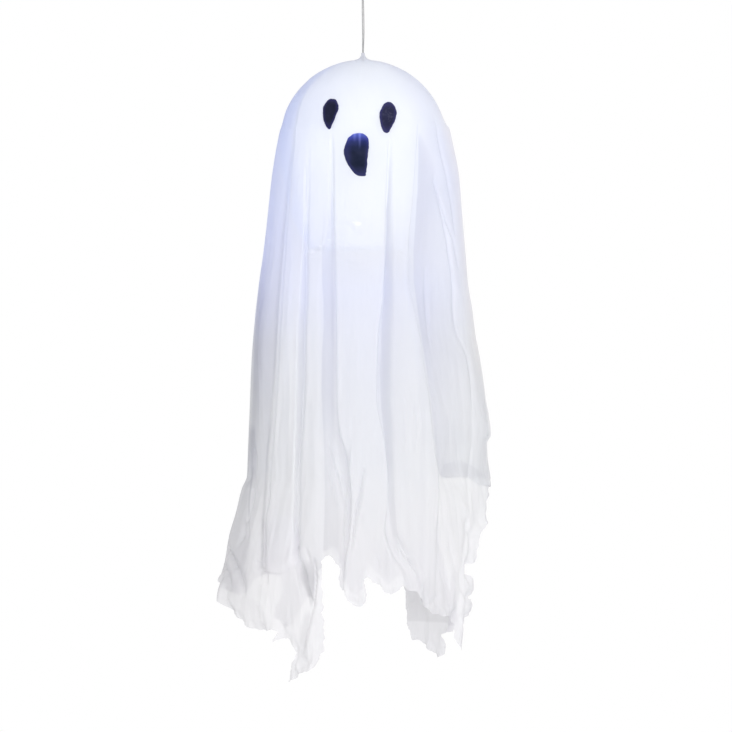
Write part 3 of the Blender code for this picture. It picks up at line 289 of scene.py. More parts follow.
def cloth_material():
    """Thin white plain-woven polyester, lit through by the lamp in the head, with painted lamplight, highlights and
    shade in its folds.
    """
    mat, tree, out = new_material("cloth_gauze")
    links = tree.links
    coord = node(tree, "ShaderNodeTexCoord")
    # weave: threads 0.7 mm apart, in the cloth's own coordinates
    warp = node(tree, "ShaderNodeTexWave", Scale=220.0, Distortion=1.2)
    weft = node(tree, "ShaderNodeTexWave", Scale=220.0, Distortion=1.2, bands_direction="Y")
    for n in (warp, weft):
        n.inputs["Detail Scale"].default_value = 2.0
        links.new(coord.outputs["UV"], n.inputs["Vector"])
    weave = node(tree, "ShaderNodeMath", operation="MAXIMUM")
    links.new(warp.outputs["Fac"], weave.inputs[0])
    links.new(weft.outputs["Fac"], weave.inputs[1])
    # slubs and crinkle
    stretch = node(tree, "ShaderNodeMapping")
    stretch.inputs["Scale"].default_value = (1.0, 0.28, 1.0)
    links.new(coord.outputs["UV"], stretch.inputs["Vector"])
    crinkle = node(tree, "ShaderNodeTexNoise", Scale=70.0, Detail=5.0, Roughness=0.55)
    links.new(stretch.outputs["Vector"], crinkle.inputs["Vector"])
    cloud = node(tree, "ShaderNodeTexNoise", Scale=14.0, Detail=3.0)
    links.new(coord.outputs["Object"], cloud.inputs["Vector"])
    tone = ramp(tree, cloud.outputs["Fac"], ((0.3, (0.905, 0.912, 0.925)), (0.7, (0.935, 0.938, 0.945))))
    axes = node(tree, "ShaderNodeSeparateXYZ")
    links.new(coord.outputs["Object"], axes.inputs["Vector"])
    height = node(tree, "ShaderNodeMapRange")
    height.inputs["From Min"].default_value = CROWN_Z - ROWS * PX
    height.inputs["From Max"].default_value = CROWN_Z
    links.new(axes.outputs["Z"], height.inputs["Value"])
    faced = mapped(tree, axes.outputs["Y"], -0.01, -0.03, 0.0, 1.0)
    behind = mapped(tree, axes.outputs["Y"], 0.01, 0.03, 0.0, 1.0)
    # painted shade of every lap, summed into one mask
    painted_shade = None
    for lap in PAINTED_FOLD_SHADE:
        way = lap["way"]
        # red, green and blue hold where the lap runs, how much and how wide
        told = node(tree, "ShaderNodeSeparateColor")
        table = ramp(tree, height.outputs["Result"],
                     [(1 - (y - 60) / ROWS, ((x + 125) / 250, much, wide / 250)) for y, x, much, wide in reversed(lap["rows"])])
        links.new(table.outputs["Color"], told.inputs["Color"])
        past = node(tree, "ShaderNodeMath", operation="SUBTRACT")
        links.new(mapped(tree, axes.outputs["X"], -0.125, 0.125, 0.0, 1.0, False), past.inputs[0])
        links.new(told.outputs["Red"], past.inputs[1])
        share = node(tree, "ShaderNodeMath", operation="DIVIDE")
        links.new(past.outputs["Value"], share.inputs[0])
        links.new(told.outputs["Blue"], share.inputs[1])
        edge = mapped(tree, past.outputs["Value"], 0.0, way * lap.get("soft", 1.6) / 250, 0.0, 1.0)
        fall = mapped(tree, share.outputs["Value"], way * lap["flat"], way * 1.0, lap["first"], lap["last"])
        here = product(tree, product(tree, edge, fall), product(tree, told.outputs["Green"], behind if lap.get("back") else faced))
        if painted_shade is None:
            painted_shade = here
        else:
            both = node(tree, "ShaderNodeMath", operation="ADD")
            links.new(painted_shade, both.inputs[0])
            links.new(here, both.inputs[1])
            painted_shade = both.outputs["Value"]
    # a hint of lavender low down, where the lamp's cool light no longer reaches
    tint = ramp(tree, height.outputs["Result"],
                [(1 - (y - 60) / ROWS, c) for y, c in ((660, (0.014, 0.0, 0.016)), (560, (0.012, 0.0, 0.014)), (470, (0.0, 0.0, 0.004)), (380, (0.0, 0.0, 0.0)))])
    tinted = node(tree, "ShaderNodeVectorMath", operation="ADD")
    links.new(tone.outputs["Color"], tinted.inputs[0])
    links.new(tint.outputs["Color"], tinted.inputs[1])
    # the cloth's colour is darkened here by the painted fold shade
    # a colour mix's own sockets come after those it keeps for numbers and vectors
    toned = node(tree, "ShaderNodeMix", data_type="RGBA")
    links.new(painted_shade, toned.inputs[0])
    links.new(tinted.outputs["Vector"], toned.inputs[6])
    # the colour that the painted shade darkens the cloth toward: navy up high, near black low down
    shade = ramp(tree, height.outputs["Result"],
                 [(1 - (y - 60) / ROWS, c) for y, c in ((600, (0.0, 0.0, 0.03)), (500, (0.0, 0.0, 0.05)), (468, (0.0, 0.0, 0.13)), (380, (0.0, 0.0, 0.20)), (60, (0.0, 0.0, 0.23)))])
    links.new(shade.outputs["Color"], toned.inputs[7])
    normal = bumped(tree, crinkle.outputs["Fac"], 0.35, 0.0022)
    normal = bumped(tree, weave.outputs["Value"], 0.12, 0.0002, normal)
    # blue lamplight caught in the cloth, strongest below the head's rim and on the left
    across = node(tree, "ShaderNodeMapRange")
    across.inputs["From Min"].default_value = -0.115
    across.inputs["From Max"].default_value = 0.115
    links.new(axes.outputs["X"], across.inputs["Value"])
    # red, green and blue of these two hold the left, the middle and the right of the cloth
    rows = ramp(tree, height.outputs["Result"],
                [(1 - (y - 60) / ROWS, lmr) for y, lmr in reversed(GLOW_ROWS)])
    part = ramp(tree, across.outputs["Result"], ((0.0, (1, 0, 0)), (0.2, (0.48, 0.4, 0)), (0.5, (0, 1, 0)), (1.0, (0, 0, 1))))
    amount = node(tree, "ShaderNodeVectorMath", operation="DOT_PRODUCT")
    links.new(rows.outputs["Color"], amount.inputs[0])
    links.new(part.outputs["Color"], amount.inputs[1])
    lit = node(tree, "ShaderNodeVectorMath", operation="SCALE")
    lit.inputs["Vector"].default_value = (0.02, 0.13, 1.0)
    links.new(amount.outputs["Value"], lit.inputs["Scale"])
    told = node(tree, "ShaderNodeSeparateColor")
    edges = ramp(tree, height.outputs["Result"],
                 [(1 - (y - 60) / ROWS, ((x + 125) / 250, much, 0.0)) for y, x, much in reversed(EDGE_ROWS)])
    links.new(edges.outputs["Color"], told.inputs["Color"])
    past = node(tree, "ShaderNodeMath", operation="SUBTRACT")
    links.new(mapped(tree, axes.outputs["X"], -0.125, 0.125, 0.0, 1.0, False), past.inputs[0])
    links.new(told.outputs["Red"], past.inputs[1])
    near = product(tree, mapped(tree, past.outputs["Value"], 0.0, 12 / 250, 0.0, 1.0), told.outputs["Green"])
    edged = node(tree, "ShaderNodeVectorMath", operation="MULTIPLY_ADD")
    links.new(near, edged.inputs[0])
    edged.inputs[1].default_value = (0.13, 0.10, 0.03)
    links.new(lit.outputs["Vector"], edged.inputs[2])
    # specks of light where the head's rim touches the cloth
    flat_place = node(tree, "ShaderNodeCombineXYZ")
    links.new(axes.outputs["X"], flat_place.inputs["X"])
    tall = node(tree, "ShaderNodeMath", operation="MULTIPLY")
    tall.inputs[1].default_value = 1.6
    links.new(axes.outputs["Z"], tall.inputs[0])
    links.new(tall.outputs["Value"], flat_place.inputs["Z"])
    glow = edged.outputs["Vector"]
    for px, row, wide, bright in GLINTS:
        away = node(tree, "ShaderNodeVectorMath", operation="DISTANCE")
        links.new(flat_place.outputs["Vector"], away.inputs[0])
        away.inputs[1].default_value = ((px - 363) * 1.098 * MM, 0.0, 1.6 * (CROWN_Z - (366 - (366 - row) / 1.023 - 60) * PX))
        speck = mapped(tree, away.outputs["Value"], wide * 0.35 * PX, wide * PX, bright, 0.0)
        white = node(tree, "ShaderNodeVectorMath", operation="MULTIPLY_ADD")
        links.new(product(tree, speck, faced), white.inputs[0])
        white.inputs[1].default_value = (0.9, 0.95, 1.0)
        links.new(glow, white.inputs[2])
        glow = white.outputs["Vector"]
    face = node(tree, "ShaderNodeBsdfPrincipled", Roughness=0.85)
    face.inputs["Specular IOR Level"].default_value = 0.15
    face.inputs["Sheen Weight"].default_value = 0.12
    face.inputs["Emission Strength"].default_value = 1.0
    links.new(toned.outputs[2], face.inputs["Base Color"])
    links.new(glow, face.inputs["Emission Color"])
    links.new(normal, face.inputs["Normal"])
    through = node(tree, "ShaderNodeBsdfTranslucent")
    links.new(toned.outputs[2], through.inputs["Color"])
    links.new(normal, through.inputs["Normal"])
    body = node(tree, "ShaderNodeMixShader")
    body.inputs["Fac"].default_value = CLOTH_THROUGH
    links.new(face.outputs["BSDF"], body.inputs[1])
    links.new(through.outputs["BSDF"], body.inputs[2])
    clear = node(tree, "ShaderNodeBsdfTransparent")
    mix = node(tree, "ShaderNodeMixShader")
    mix.inputs["Fac"].default_value = CLOTH_CLEAR
    links.new(body.outputs["Shader"], mix.inputs[1])
    links.new(clear.outputs["BSDF"], mix.inputs[2])
    links.new(mix.outputs["Shader"], out.inputs["Surface"])
    return mat


def globe_material():
    mat, tree, out = new_material("globe_milky")
    links = tree.links
    coord = node(tree, "ShaderNodeTexCoord")
    cloud = node(tree, "ShaderNodeTexNoise", Scale=30.0, Detail=4.0)
    links.new(coord.outputs["Object"], cloud.inputs["Vector"])
    tone = ramp(tree, cloud.outputs["Fac"], ((0.3, (0.90, 0.915, 0.94)), (0.7, (0.94, 0.95, 0.965))))
    # the lamp inside shines bluer to the left: tint against the bearing from the face
    axes = node(tree, "ShaderNodeSeparateXYZ")
    links.new(coord.outputs["Object"], axes.inputs["Vector"])
    ahead = node(tree, "ShaderNodeMath", operation="MULTIPLY")
    ahead.inputs[1].default_value = -1.0
    links.new(axes.outputs["Y"], ahead.inputs[0])
    bearing = node(tree, "ShaderNodeMath", operation="ARCTAN2")
    links.new(axes.outputs["X"], bearing.inputs[0])
    links.new(ahead.outputs["Value"], bearing.inputs[1])
    turn = node(tree, "ShaderNodeMapRange")
    turn.inputs["From Min"].default_value = -math.pi
    turn.inputs["From Max"].default_value = math.pi
    links.new(bearing.outputs["Value"], turn.inputs["Value"])
    light = ramp(tree, turn.outputs["Result"],
                 [((d + 180) / 360, c) for d, c in ((-150, (0.5, 0.65, 0.9)), (-100, (0.24, 0.38, 0.9)), (-60, (0.30, 0.44, 1.0)),
                                                    (-53, (0.97, 1.0, 1.0)), (28, (0.97, 1.0, 1.0)), (50, (0.70, 0.70, 0.86)), (80, (0.70, 0.70, 0.86)), (150, (0.7, 0.8, 0.95)))])
    face = node(tree, "ShaderNodeBsdfPrincipled", Roughness=0.3)
    face.inputs["Emission Strength"].default_value = GLOBE_GLOW
    links.new(tone.outputs["Color"], face.inputs["Base Color"])
    links.new(light.outputs["Color"], face.inputs["Emission Color"])
    through = node(tree, "ShaderNodeBsdfTranslucent")
    links.new(tone.outputs["Color"], through.inputs["Color"])
    mix = node(tree, "ShaderNodeMixShader")
    mix.inputs["Fac"].default_value = 0.5
    links.new(face.outputs["BSDF"], mix.inputs[1])
    links.new(through.outputs["BSDF"], mix.inputs[2])
    links.new(mix.outputs["Shader"], out.inputs["Surface"])
    return mat


# Blue lamplight on the mouth's upper half: picture row and colour.
FELT_ROWS = ((80, (0.0, 0.0, 0.004)), (134, (0.0, 0.0, 0.004)), (137.5, (0.125, 0.15, 0.52)), (141, (0.055, 0.09, 0.40)),
             (143.5, (0.032, 0.045, 0.27)), (147, (0.012, 0.02, 0.11)), (152, (0.003, 0.008, 0.035)), (158, (0.003, 0.006, 0.016)),
             (176, (0.003, 0.006, 0.014)))
# Painted streaks of blue lamplight where the felt's top is gathered: column, half width in px, last row, strength.
FELT_LIGHT_STREAKS = ((354.6, 2.2, 143.0, 0.75), (359.8, 1.7, 150.0, 0.95))


def felt_material():
    """Blue-black felt: matted fibres, with lamplight catching them."""
    mat, tree, out = new_material("felt_dark")
    links = tree.links
    coord = node(tree, "ShaderNodeTexCoord")
    fibre = node(tree, "ShaderNodeTexNoise", Scale=1500.0, Detail=4.0, Roughness=0.65)
    tuft = node(tree, "ShaderNodeTexVoronoi", Scale=520.0)
    cloud = node(tree, "ShaderNodeTexNoise", Scale=90.0, Detail=3.0)
    for n in (fibre, tuft, cloud):
        links.new(coord.outputs["Object"], n.inputs["Vector"])
    tone = ramp(tree, cloud.outputs["Fac"],
                ((0.3, (0.0065, 0.0085, 0.022)), (0.7, (0.016, 0.018, 0.042))))
    shader = node(tree, "ShaderNodeBsdfPrincipled", Roughness=0.95)
    shader.inputs["Specular IOR Level"].default_value = 0.1
    shader.inputs["Sheen Weight"].default_value = 0.08
    links.new(tone.outputs["Color"], shader.inputs["Base Color"])
    axes = node(tree, "ShaderNodeSeparateXYZ")
    links.new(coord.outputs["Object"], axes.inputs["Vector"])
    glow = ramp(tree, mapped(tree, axes.outputs["Z"], CROWN_Z - 120 * PX, CROWN_Z - 20 * PX, 0.0, 1.0),
                [(1 - (y - 80) / 100, c) for y, c in reversed(FELT_ROWS)])
    # the eye to the right hangs in the same rows and stays dark
    lit = node(tree, "ShaderNodeVectorMath", operation="SCALE")
    links.new(glow.outputs["Color"], lit.inputs["Vector"])
    links.new(mapped(tree, axes.outputs["X"], 0.009, 0.013, 1.0, 0.0), lit.inputs["Scale"])
    lit = lit.outputs["Vector"]
    # the cloth's light spills over the thin outline of each patch
    rim = node(tree, "ShaderNodeAttribute")
    rim.attribute_name = "rim"
    parts = [(rim.outputs["Fac"], (0.019, 0.016, 0.080))]
    # the right eye is painted lighter, as it lies flatter to the light, with painted pale highlight specks in its
    # middle
    flatter = mapped(tree, axes.outputs["X"], 0.009, 0.013, 0.0, 1.0)
    parts.append((flatter, (0.013, 0.012, 0.034)))
    highlight_specks = node(tree, "ShaderNodeTexNoise", Scale=190.0, Detail=2.0, Distortion=1.6)
    links.new(coord.outputs["Object"], highlight_specks.inputs["Vector"])
    inside = product(tree, flatter, mapped(tree, rim.outputs["Fac"], 0.0, 0.3, 1.0, 0.0))
    parts.append((product(tree, inside, mapped(tree, highlight_specks.outputs["Fac"], 0.52, 0.64, 0.0, 1.0)), (0.020, 0.021, 0.024)))
    # painted streaks of lamplight down the mouth's top
    for px, half, last, strength in FELT_LIGHT_STREAKS:
        off = node(tree, "ShaderNodeMath", operation="SUBTRACT")
        off.inputs[1].default_value = (px - 363) * 1.098 * MM
        links.new(axes.outputs["X"], off.inputs[0])
        size = node(tree, "ShaderNodeMath", operation="ABSOLUTE")
        links.new(off.outputs["Value"], size.inputs[0])
        across = mapped(tree, size.outputs["Value"], 0.3 * MM, half * PX, strength, 0.0)
        first, last = (366 - (366 - row) / 1.023 for row in (134.0, last))
        down = mapped(tree, axes.outputs["Z"], CROWN_Z - (last - 60) * PX, CROWN_Z - (first - 60) * PX, 0.0, 1.0)
        parts.append((product(tree, across, down), (0.11, 0.12, 0.30)))
    for amount, colour in parts:
        more = node(tree, "ShaderNodeVectorMath", operation="MULTIPLY_ADD")
        links.new(amount, more.inputs[0])
        more.inputs[1].default_value = colour
        links.new(lit, more.inputs[2])
        lit = more.outputs["Vector"]
    shader.inputs["Emission Strength"].default_value = 1.0
    links.new(lit, shader.inputs["Emission Color"])
    normal = bumped(tree, tuft.outputs["Distance"], 0.35, 0.0006)
    links.new(bumped(tree, fibre.outputs["Fac"], 0.7, 0.0004, normal), shader.inputs["Normal"])
    links.new(shader.outputs["BSDF"], out.inputs["Surface"])
    return mat


CLOTH_THROUGH = 0.40
CLOTH_CLEAR = 0.25
GLOBE_GLOW = 0.23

MAT_CORD = cord_material()
MAT_CLOTH = cloth_material()
MAT_GLOBE = globe_material()
MAT_FELT = felt_material()

# ------------------------------------------------------------ cord
CORD_D = 1.2 * MM
CORD_STRAND_OFFSET = 0.79 * MM
CORD_TOP_Z = -15.2 * MM
CORD_LOOP_R = 3.1 * MM
CORD_TURNS = 0.5
CORD_END_Z = CROWN_Z - 8.2 * MM + 0.3 * MM


def step01(low, high, value):
    t = min(max((value - low) / (high - low), 0.0), 1.0)
    return t * t * (3 - 2 * t)


def hermite(p0, p1, p2, p3, t):
    m1, m2 = (p2 - p0) / 2, (p3 - p1) / 2
    return ((2 * t ** 3 - 3 * t ** 2 + 1) * p1 + (t ** 3 - 2 * t ** 2 + t) * m1
            + (-2 * t ** 3 + 3 * t ** 2) * p2 + (t ** 3 - t ** 2) * m2)


def cord_route(top_z, bottom_z):
    """Key points of the doubled cord: up one strand, over the ring, down the other."""
    side = []
    start = top_z - 4.3 * CORD_LOOP_R
    steps = 12
    for i in range(steps + 1):
        z = bottom_z + (start - bottom_z) * i / steps
        turn = math.pi / 2 + math.tau * CORD_TURNS * (1 - i / steps)
        lean = Vector((0.35 * math.sin(5.2 * i / steps), 0.2 * math.sin(3.1 * i / steps), 0)) * MM
        lean *= step01(0.15, 0.35, i / steps) * (1 - step01(0.8, 1.0, i / steps))
        side.append((z, turn, lean, CORD_STRAND_OFFSET))
    points = [Vector((math.cos(t) * r, math.sin(t) * r, z)) + lean for z, t, lean, r in side]
    for k, up in ((0.42, 1.3), (0.8, 2.5)):
        points.append(Vector((0, CORD_LOOP_R * k, start + up * CORD_LOOP_R)))
    for degrees in (20, 55, 90, 125, 160):
        a = math.radians(degrees)
        points.append(Vector((0, CORD_LOOP_R * math.cos(a),
                              top_z - CORD_LOOP_R + CORD_LOOP_R * math.sin(a))))
    for k, up in ((0.8, 2.5), (0.42, 1.3)):
        points.append(Vector((0, -CORD_LOOP_R * k, start + up * CORD_LOOP_R)))
    for z, t, lean, r in reversed(side):
        points.append(Vector((-math.cos(t) * r, -math.sin(t) * r, z)) + lean)
    return points


def smooth_path(keys, spacing):
    """Points at an even spacing on a smooth curve through the key points."""
    keys = [Vector(k) for k in keys]
    ends = [2 * keys[0] - keys[1]] + keys + [2 * keys[-1] - keys[-2]]
    dense = []
    for i in range(len(keys) - 1):
        for j in range(40):
            t = j / 40
            dense.append(Vector([hermite(*[ends[i + k][a] for k in range(4)], t)
                                 for a in range(3)]))
    dense.append(keys[-1])
    length = sum((b - a).length for a, b in zip(dense, dense[1:]))
    count = max(2, round(length / spacing))
    out, walked, target = [dense[0]], 0.0, length / count
    for a, b in zip(dense, dense[1:]):
        step = (b - a).length
        while step > 0 and walked + step >= target - 1e-9 and len(out) < count:
            out.append(a.lerp(b, (target - walked) / step))
            target += length / count
        walked += step
    out.append(dense[-1])
    return out, length


def twisted_tube(name, path, radius, plies, pitch, mat, sides=15):
    """A string laid up from a few plies: its section turns along the path."""
    pts = [Vector(p) for p in path]
    tangents = [(pts[min(i + 1, len(pts) - 1)] - pts[max(i - 1, 0)]).normalized()
                for i in range(len(pts))]
    up = tangents[0].orthogonal().normalized()
    verts, faces, walked = [], [], 0.0
    for i, (p, t) in enumerate(zip(pts, tangents)):
        up = (up - t * up.dot(t)).normalized()
        side = t.cross(up)
        if i:
            walked += (p - pts[i - 1]).length
        for j in range(sides):
            a = math.tau * j / sides
            lobe = abs(math.cos(plies * (a - math.tau * walked / pitch) / 2))
            r = radius * (0.80 + 0.22 * lobe)
            verts.append(p + (up * math.cos(a) + side * math.sin(a)) * r)
    for i in range(len(pts) - 1):
        for j in range(sides):
            k = (j + 1) % sides
            a, b = i * sides, (i + 1) * sides
            faces.append((a + j, a + k, b + k, b + j))
    faces.append(tuple(reversed(range(sides))))
    faces.append(tuple(range((len(pts) - 1) * sides, len(pts) * sides)))
    return new_object(name, verts, faces, mat)


cord_path, cord_length = smooth_path(cord_route(CORD_TOP_Z, CORD_END_Z), 0.45 * MM)
cord = twisted_tube("cord_string", cord_path, CORD_D / 2, 3, 3.4 * MM, MAT_CORD)
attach(cord, "cord")
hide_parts("hanging_cord")

# ------------------------------------------------------------ cloth
# Half widths of the cloth to the left and right of the cord, and how far it reaches to the
# front and back, against the picture row. One row is PX high and the crown is at row 60.
LEFT_EDGE = ((60, 0), (128, 82), (140, 85), (176, 91), (212, 95), (248, 99), (284, 104),
             (320, 108), (356, 111), (404, 113), (452, 115), (476, 116), (488, 121),
             (512, 127), (536, 134), (560, 138), (584, 144), (600, 145), (700, 142))
RIGHT_EDGE = ((60, 0), (128, 86), (140, 89), (176, 96), (212, 99), (236, 101), (260, 103),
              (284, 105), (308, 109), (332, 112), (356, 116), (392, 121), (428, 125.4),
              (441, 125.4), (460, 125.6), (486, 126.6), (524, 126.6), (548, 126), (600, 124), (700, 118))
# the torn side edge of the upper layer steps in here: px taken off the right outline
RIGHT_NICK = ((420, 0), (433, -1.0), (435, -1.0), (441.5, 3.0), (457, 3.0), (474, 1.2), (486, 0), (700, 0))
FRONT_EDGE = ((60, 0), (128, 84.1), (140, 86.3), (164, 90), (200, 93), (260, 97), (320, 101.5),
              (380, 105.5), (428, 108.6), (476, 111.7), (525, 114.4), (584, 115.7), (700, 113))
BACK_EDGE = ((60, 0), (128, 84.1), (140, 86.3), (164, 90), (200, 93), (260, 97.9), (320, 102.4),
             (380, 106), (428, 107.7), (476, 109), (525, 110.4), (584, 110.8), (700, 109))
# Valleys between the folds that the picture shows: pixel column of the line, its depth in mm,
# how far it opens to its left and right in mm, how far its bottom tucks sideways, and how
# square its two sides are. The last one lies in another's wide slope and is added to it.
FRONT_VALLEYS = (
    # V1: the second fold laps over the outer left one
    dict(x=((130, 297), (145, 295), (163, 291.5), (200, 288), (259, 282.5), (320, 278.5), (379, 275), (448, 269),
            (498, 265.5), (517, 262), (542, 262.5), (563, 264), (590, 268), (690, 268)),
         deep=((128, 0), (150, 2), (190, 7), (260, 13), (330, 18), (420, 20), (520, 19), (556, 16), (571, 5), (582, 0), (690, 0)),
         left=((140, 10), (260, 14), (400, 14), (540, 10), (690, 12)),
         right=((140, 1.4), (690, 1.6)),
         tuck=((140, 0), (230, 1.2), (300, 2.5), (420, 3), (540, 3), (572, 0.5), (690, 0)), power=(1.7, 2.4)),
    # V2: a flat-bottomed recess that closes to a lap further down
    dict(x=((150, 309), (200, 308), (228, 306.5), (283, 304), (300, 303.4), (320, 302), (340, 301.3), (380, 300.3),
            (420, 299.6), (440, 298), (480, 296), (545, 294.5), (600, 303), (690, 303)),
         deep=((150, 0), (215, 2), (250, 6), (283, 10), (320, 13), (420, 13), (440, 11), (480, 9), (545, 9), (565, 6), (600, 1), (690, 0)),
         left=((150, 1.5), (228, 2.5), (283, 3.4), (320, 4), (340, 4.3), (380, 4.6), (420, 4.2), (440, 2.6), (480, 1.6), (545, 1.6), (690, 4)),
         right=((150, 2), (228, 2.5), (283, 3.6), (320, 4.2), (420, 4.4), (440, 4), (480, 5), (545, 5), (690, 6)),
         tuck=((140, 0), (690, 0)), lean=((200, 0), (240, 1.4), (300, 2.4), (480, 2.0), (560, 0), (690, 0)), power=(6.0, 3.0)),
    # V3: beside the middle panel
    dict(x=((140, 332.2), (250, 332.2), (330, 332.4), (400, 332.8), (428, 335), (452, 343), (494, 347.5),
            (530, 346), (555, 342), (577, 340), (690, 338)),
         deep=((138, 0), (158, 2.8), (200, 4.5), (235, 8), (262, 11), (320, 13), (400, 13), (440, 13), (494, 14), (530, 14), (560, 12), (690, 13)),
         left=((140, 2), (228, 4), (255, 11), (300, 14), (400, 14), (440, 20), (494, 28), (530, 24), (555, 18), (690, 12)),
         right=((140, 1.2), (690, 1.8)),
         tuck=((140, 0.2), (262, 1.0), (400, 1.6), (500, 2.0), (555, 1), (690, 0)), power=(5.0, 2.4)),
    # V4: a flat-bottomed recess on the other side of it
    dict(x=((140, 389.5), (152, 390), (200, 390.5), (260, 391), (300, 390.3), (330, 388.3), (380, 386.8), (400, 386.6),
            (420, 389), (440, 391), (470, 392), (500, 392.5), (523, 393.5), (538, 398), (555, 406), (567, 414), (600, 420), (690, 420)),
         deep=((142, 0), (156, 2.5), (195, 6), (240, 10), (300, 14), (400, 17), (440, 15), (480, 11), (540, 11), (565, 5), (590, 2), (690, 0)),
         left=((140, 1.6), (200, 3.0), (260, 3.6), (300, 4.2), (330, 6.0), (400, 6.8), (420, 5.4), (440, 3.6), (470, 3), (500, 4), (535, 9), (560, 10), (690, 8)),
         right=((140, 1.6), (200, 2.8), (260, 3.4), (300, 4.2), (330, 5.2), (400, 5.2), (420, 4.2), (440, 3), (470, 2.2), (540, 3), (690, 8)),
         tuck=((140, 0), (690, 0)), lean=((150, 0), (185, 2.0), (260, 3.2), (440, 3.6), (500, 2.6), (560, 0), (690, 0)), power=(6.0, 4.0)),
    # V5: the wide side panel lies lower than the one in front of it
    dict(x=((126, 419), (193, 417), (240, 413.5), (265, 412.8), (285, 414), (305, 418.5), (340, 426.5), (361, 429.5),
            (405, 436.5), (446, 440), (470, 443), (486, 443), (540, 440), (690, 440)),
         deep=((126, 0), (150, 3.5), (195, 9), (250, 15), (310, 20), (380, 22), (440, 21), (474, 16), (488, 8), (520, 3), (690, 2)),
         left=((126, 1.4), (195, 1.6), (440, 1.6), (500, 3), (690, 9)),
         right=((126, 8), (160, 25), (195, 60), (260, 80), (440, 85), (500, 60), (690, 30)),
         tuck=((126, 0), (195, -1), (260, -2), (350, -3), (440, -3.5), (484, -1), (690, 0)), power=(2.4, 2.6)),
    # V6: a fine pleat down the side panel
    dict(x=((126, 438), (180, 437), (205, 444), (245, 454), (276, 459), (323, 464), (360, 474),
            (409, 479), (440, 480), (500, 474), (560, 466), (620, 460), (690, 460)),
         deep=((172, 0), (200, 2.0), (250, 3.4), (290, 3.0), (330, 1.6), (400, 1.2), (440, 1.2), (500, 2), (560, 3), (690, 4)),
         left=((126, 2.2), (200, 3), (400, 4), (690, 8)),
         right=((126, 1.8), (400, 2.4), (690, 6)),
         tuck=((126, 0), (260, 0.8), (420, 1), (690, 0)), power=(1.7, 2.0), add=True),
)
# Valleys round the sides and back: angle from the front in degrees (right positive) high and
# low on the skirt, depth in mm at the hem, row where it starts, opening and tuck in mm.
FREE_VALLEYS = (
    (-101, -98, 24, 142, 5, 7, -2), (-122, -125, 27, 150, 4, 10, -4),
    (-146, -148, 25, 190, 10, 3.5, 4), (-169, -172, 30, 145, 6, 5, 0), (165, 166, 28, 170, 4, 9, -4),
    (143, 145, 25, 148, 10, 3.5, 4, 596), (121, 119, 26, 185, 4, 8, -3), (96, 98, 20, 145, 6, 4, 2),
)

GLOBE_R, GLOBE_MID, GLOBE_RIM_R, GLOBE_DEPTH = 92.8, 94.5, 60.0, 211.0
COLUMNS_FRONT, COLUMNS_BACK = 0.86, 0.40
TIP = ((1.9, 7.9), (1.95, 6.7), (2.15, 5.5), (2.6, 4.3), (3.3, 3.1), (4.4, 1.9), (6.2, 0.8), (8.6, 0.0), (11.4, -0.75))


def valley_list():
    out = []
    for v in FRONT_VALLEYS:
        out.append(("px", v))
    for high, low, deep, start, left, right, tuck, *ends in FREE_VALLEYS:
        last = ends[0] if ends else 640
        out.append(("deg", dict(
            x=((100, high), (300, high * 0.6 + low * 0.4), (690, low)),
            deep=((start, 0), (start + 40, 2.5), (262, 9), (330, deep * 0.62), (430, deep * 0.9),
                  (560, deep), (last, deep), (last + 26, deep * (0.2 if ends else 1.0)), (690, deep * (0.1 if ends else 1.0))),
            left=((140, left * 0.4), (300, left), (690, left * 1.15)),
            right=((140, right * 0.4), (300, right), (690, right * 1.15)),
            tuck=((200, 0), (330, tuck), (600, tuck), (690, tuck * 0.5)))))
    return out


def globe_radius(depth):
    """Outer radius of the globe at a depth under the crown, in mm."""
    d = np.asarray(depth, float)
    ball = np.sqrt(np.clip(GLOBE_R ** 2 - (d - GLOBE_MID) ** 2, 0, None))
    low = curve_through(((94.5, 92.8), (104, 92.3), (130, 89.6), (160, 84.4), (190, 73.5), (211, 60.0)), d)
    return np.where(d > 211, 0.0, np.where(d > 104, low, ball))


def smooth_noise(seed, x, y, z, octaves=3):
    """Fractal noise at arrays of points."""
    out = np.empty(x.size)
    for i, (a, b, c) in enumerate(zip(x.ravel(), y.ravel(), z.ravel())):
        out[i] = noise.fractal((a + seed * 7.31, b - seed * 3.17, c + seed * 1.93), 0.9, 2.0, octaves)
    return out.reshape(x.shape)


def row_points(py, valleys):
    """Dense outline of the cloth at a picture row: angle, x and y in mm, and valley angles."""
    depth = (py - 60) * PX / MM
    ball = math.sqrt(max(94.5 ** 2 - (94.5 - min(depth, 94.5)) ** 2, 0))
    mix = float(smoothstep(112, 134, py))
    edge = [ball * (1 - mix) + float(curve_through(t, py)) * PX / MM * mix
            for t in (LEFT_EDGE, RIGHT_EDGE, FRONT_EDGE, BACK_EDGE)]
    left, right, front, back = edge
    angles = []
    for kind, v in valleys:
        if kind == "px":
            px = float(curve_through(v["x"], max(py, v["x"][0][0])))
            x = (px - 363) * PX / MM
            side = right if x > 0 else left
            x *= 1 - 0.0249 * math.sqrt(max(1 - (x / side) ** 2, 0)) * front / 100
            angles.append(math.degrees(math.asin(max(-0.999, min(0.999, x / side)))))
        else:
            angles.append(float(curve_through(v["x"], py)))
    return edge, angles


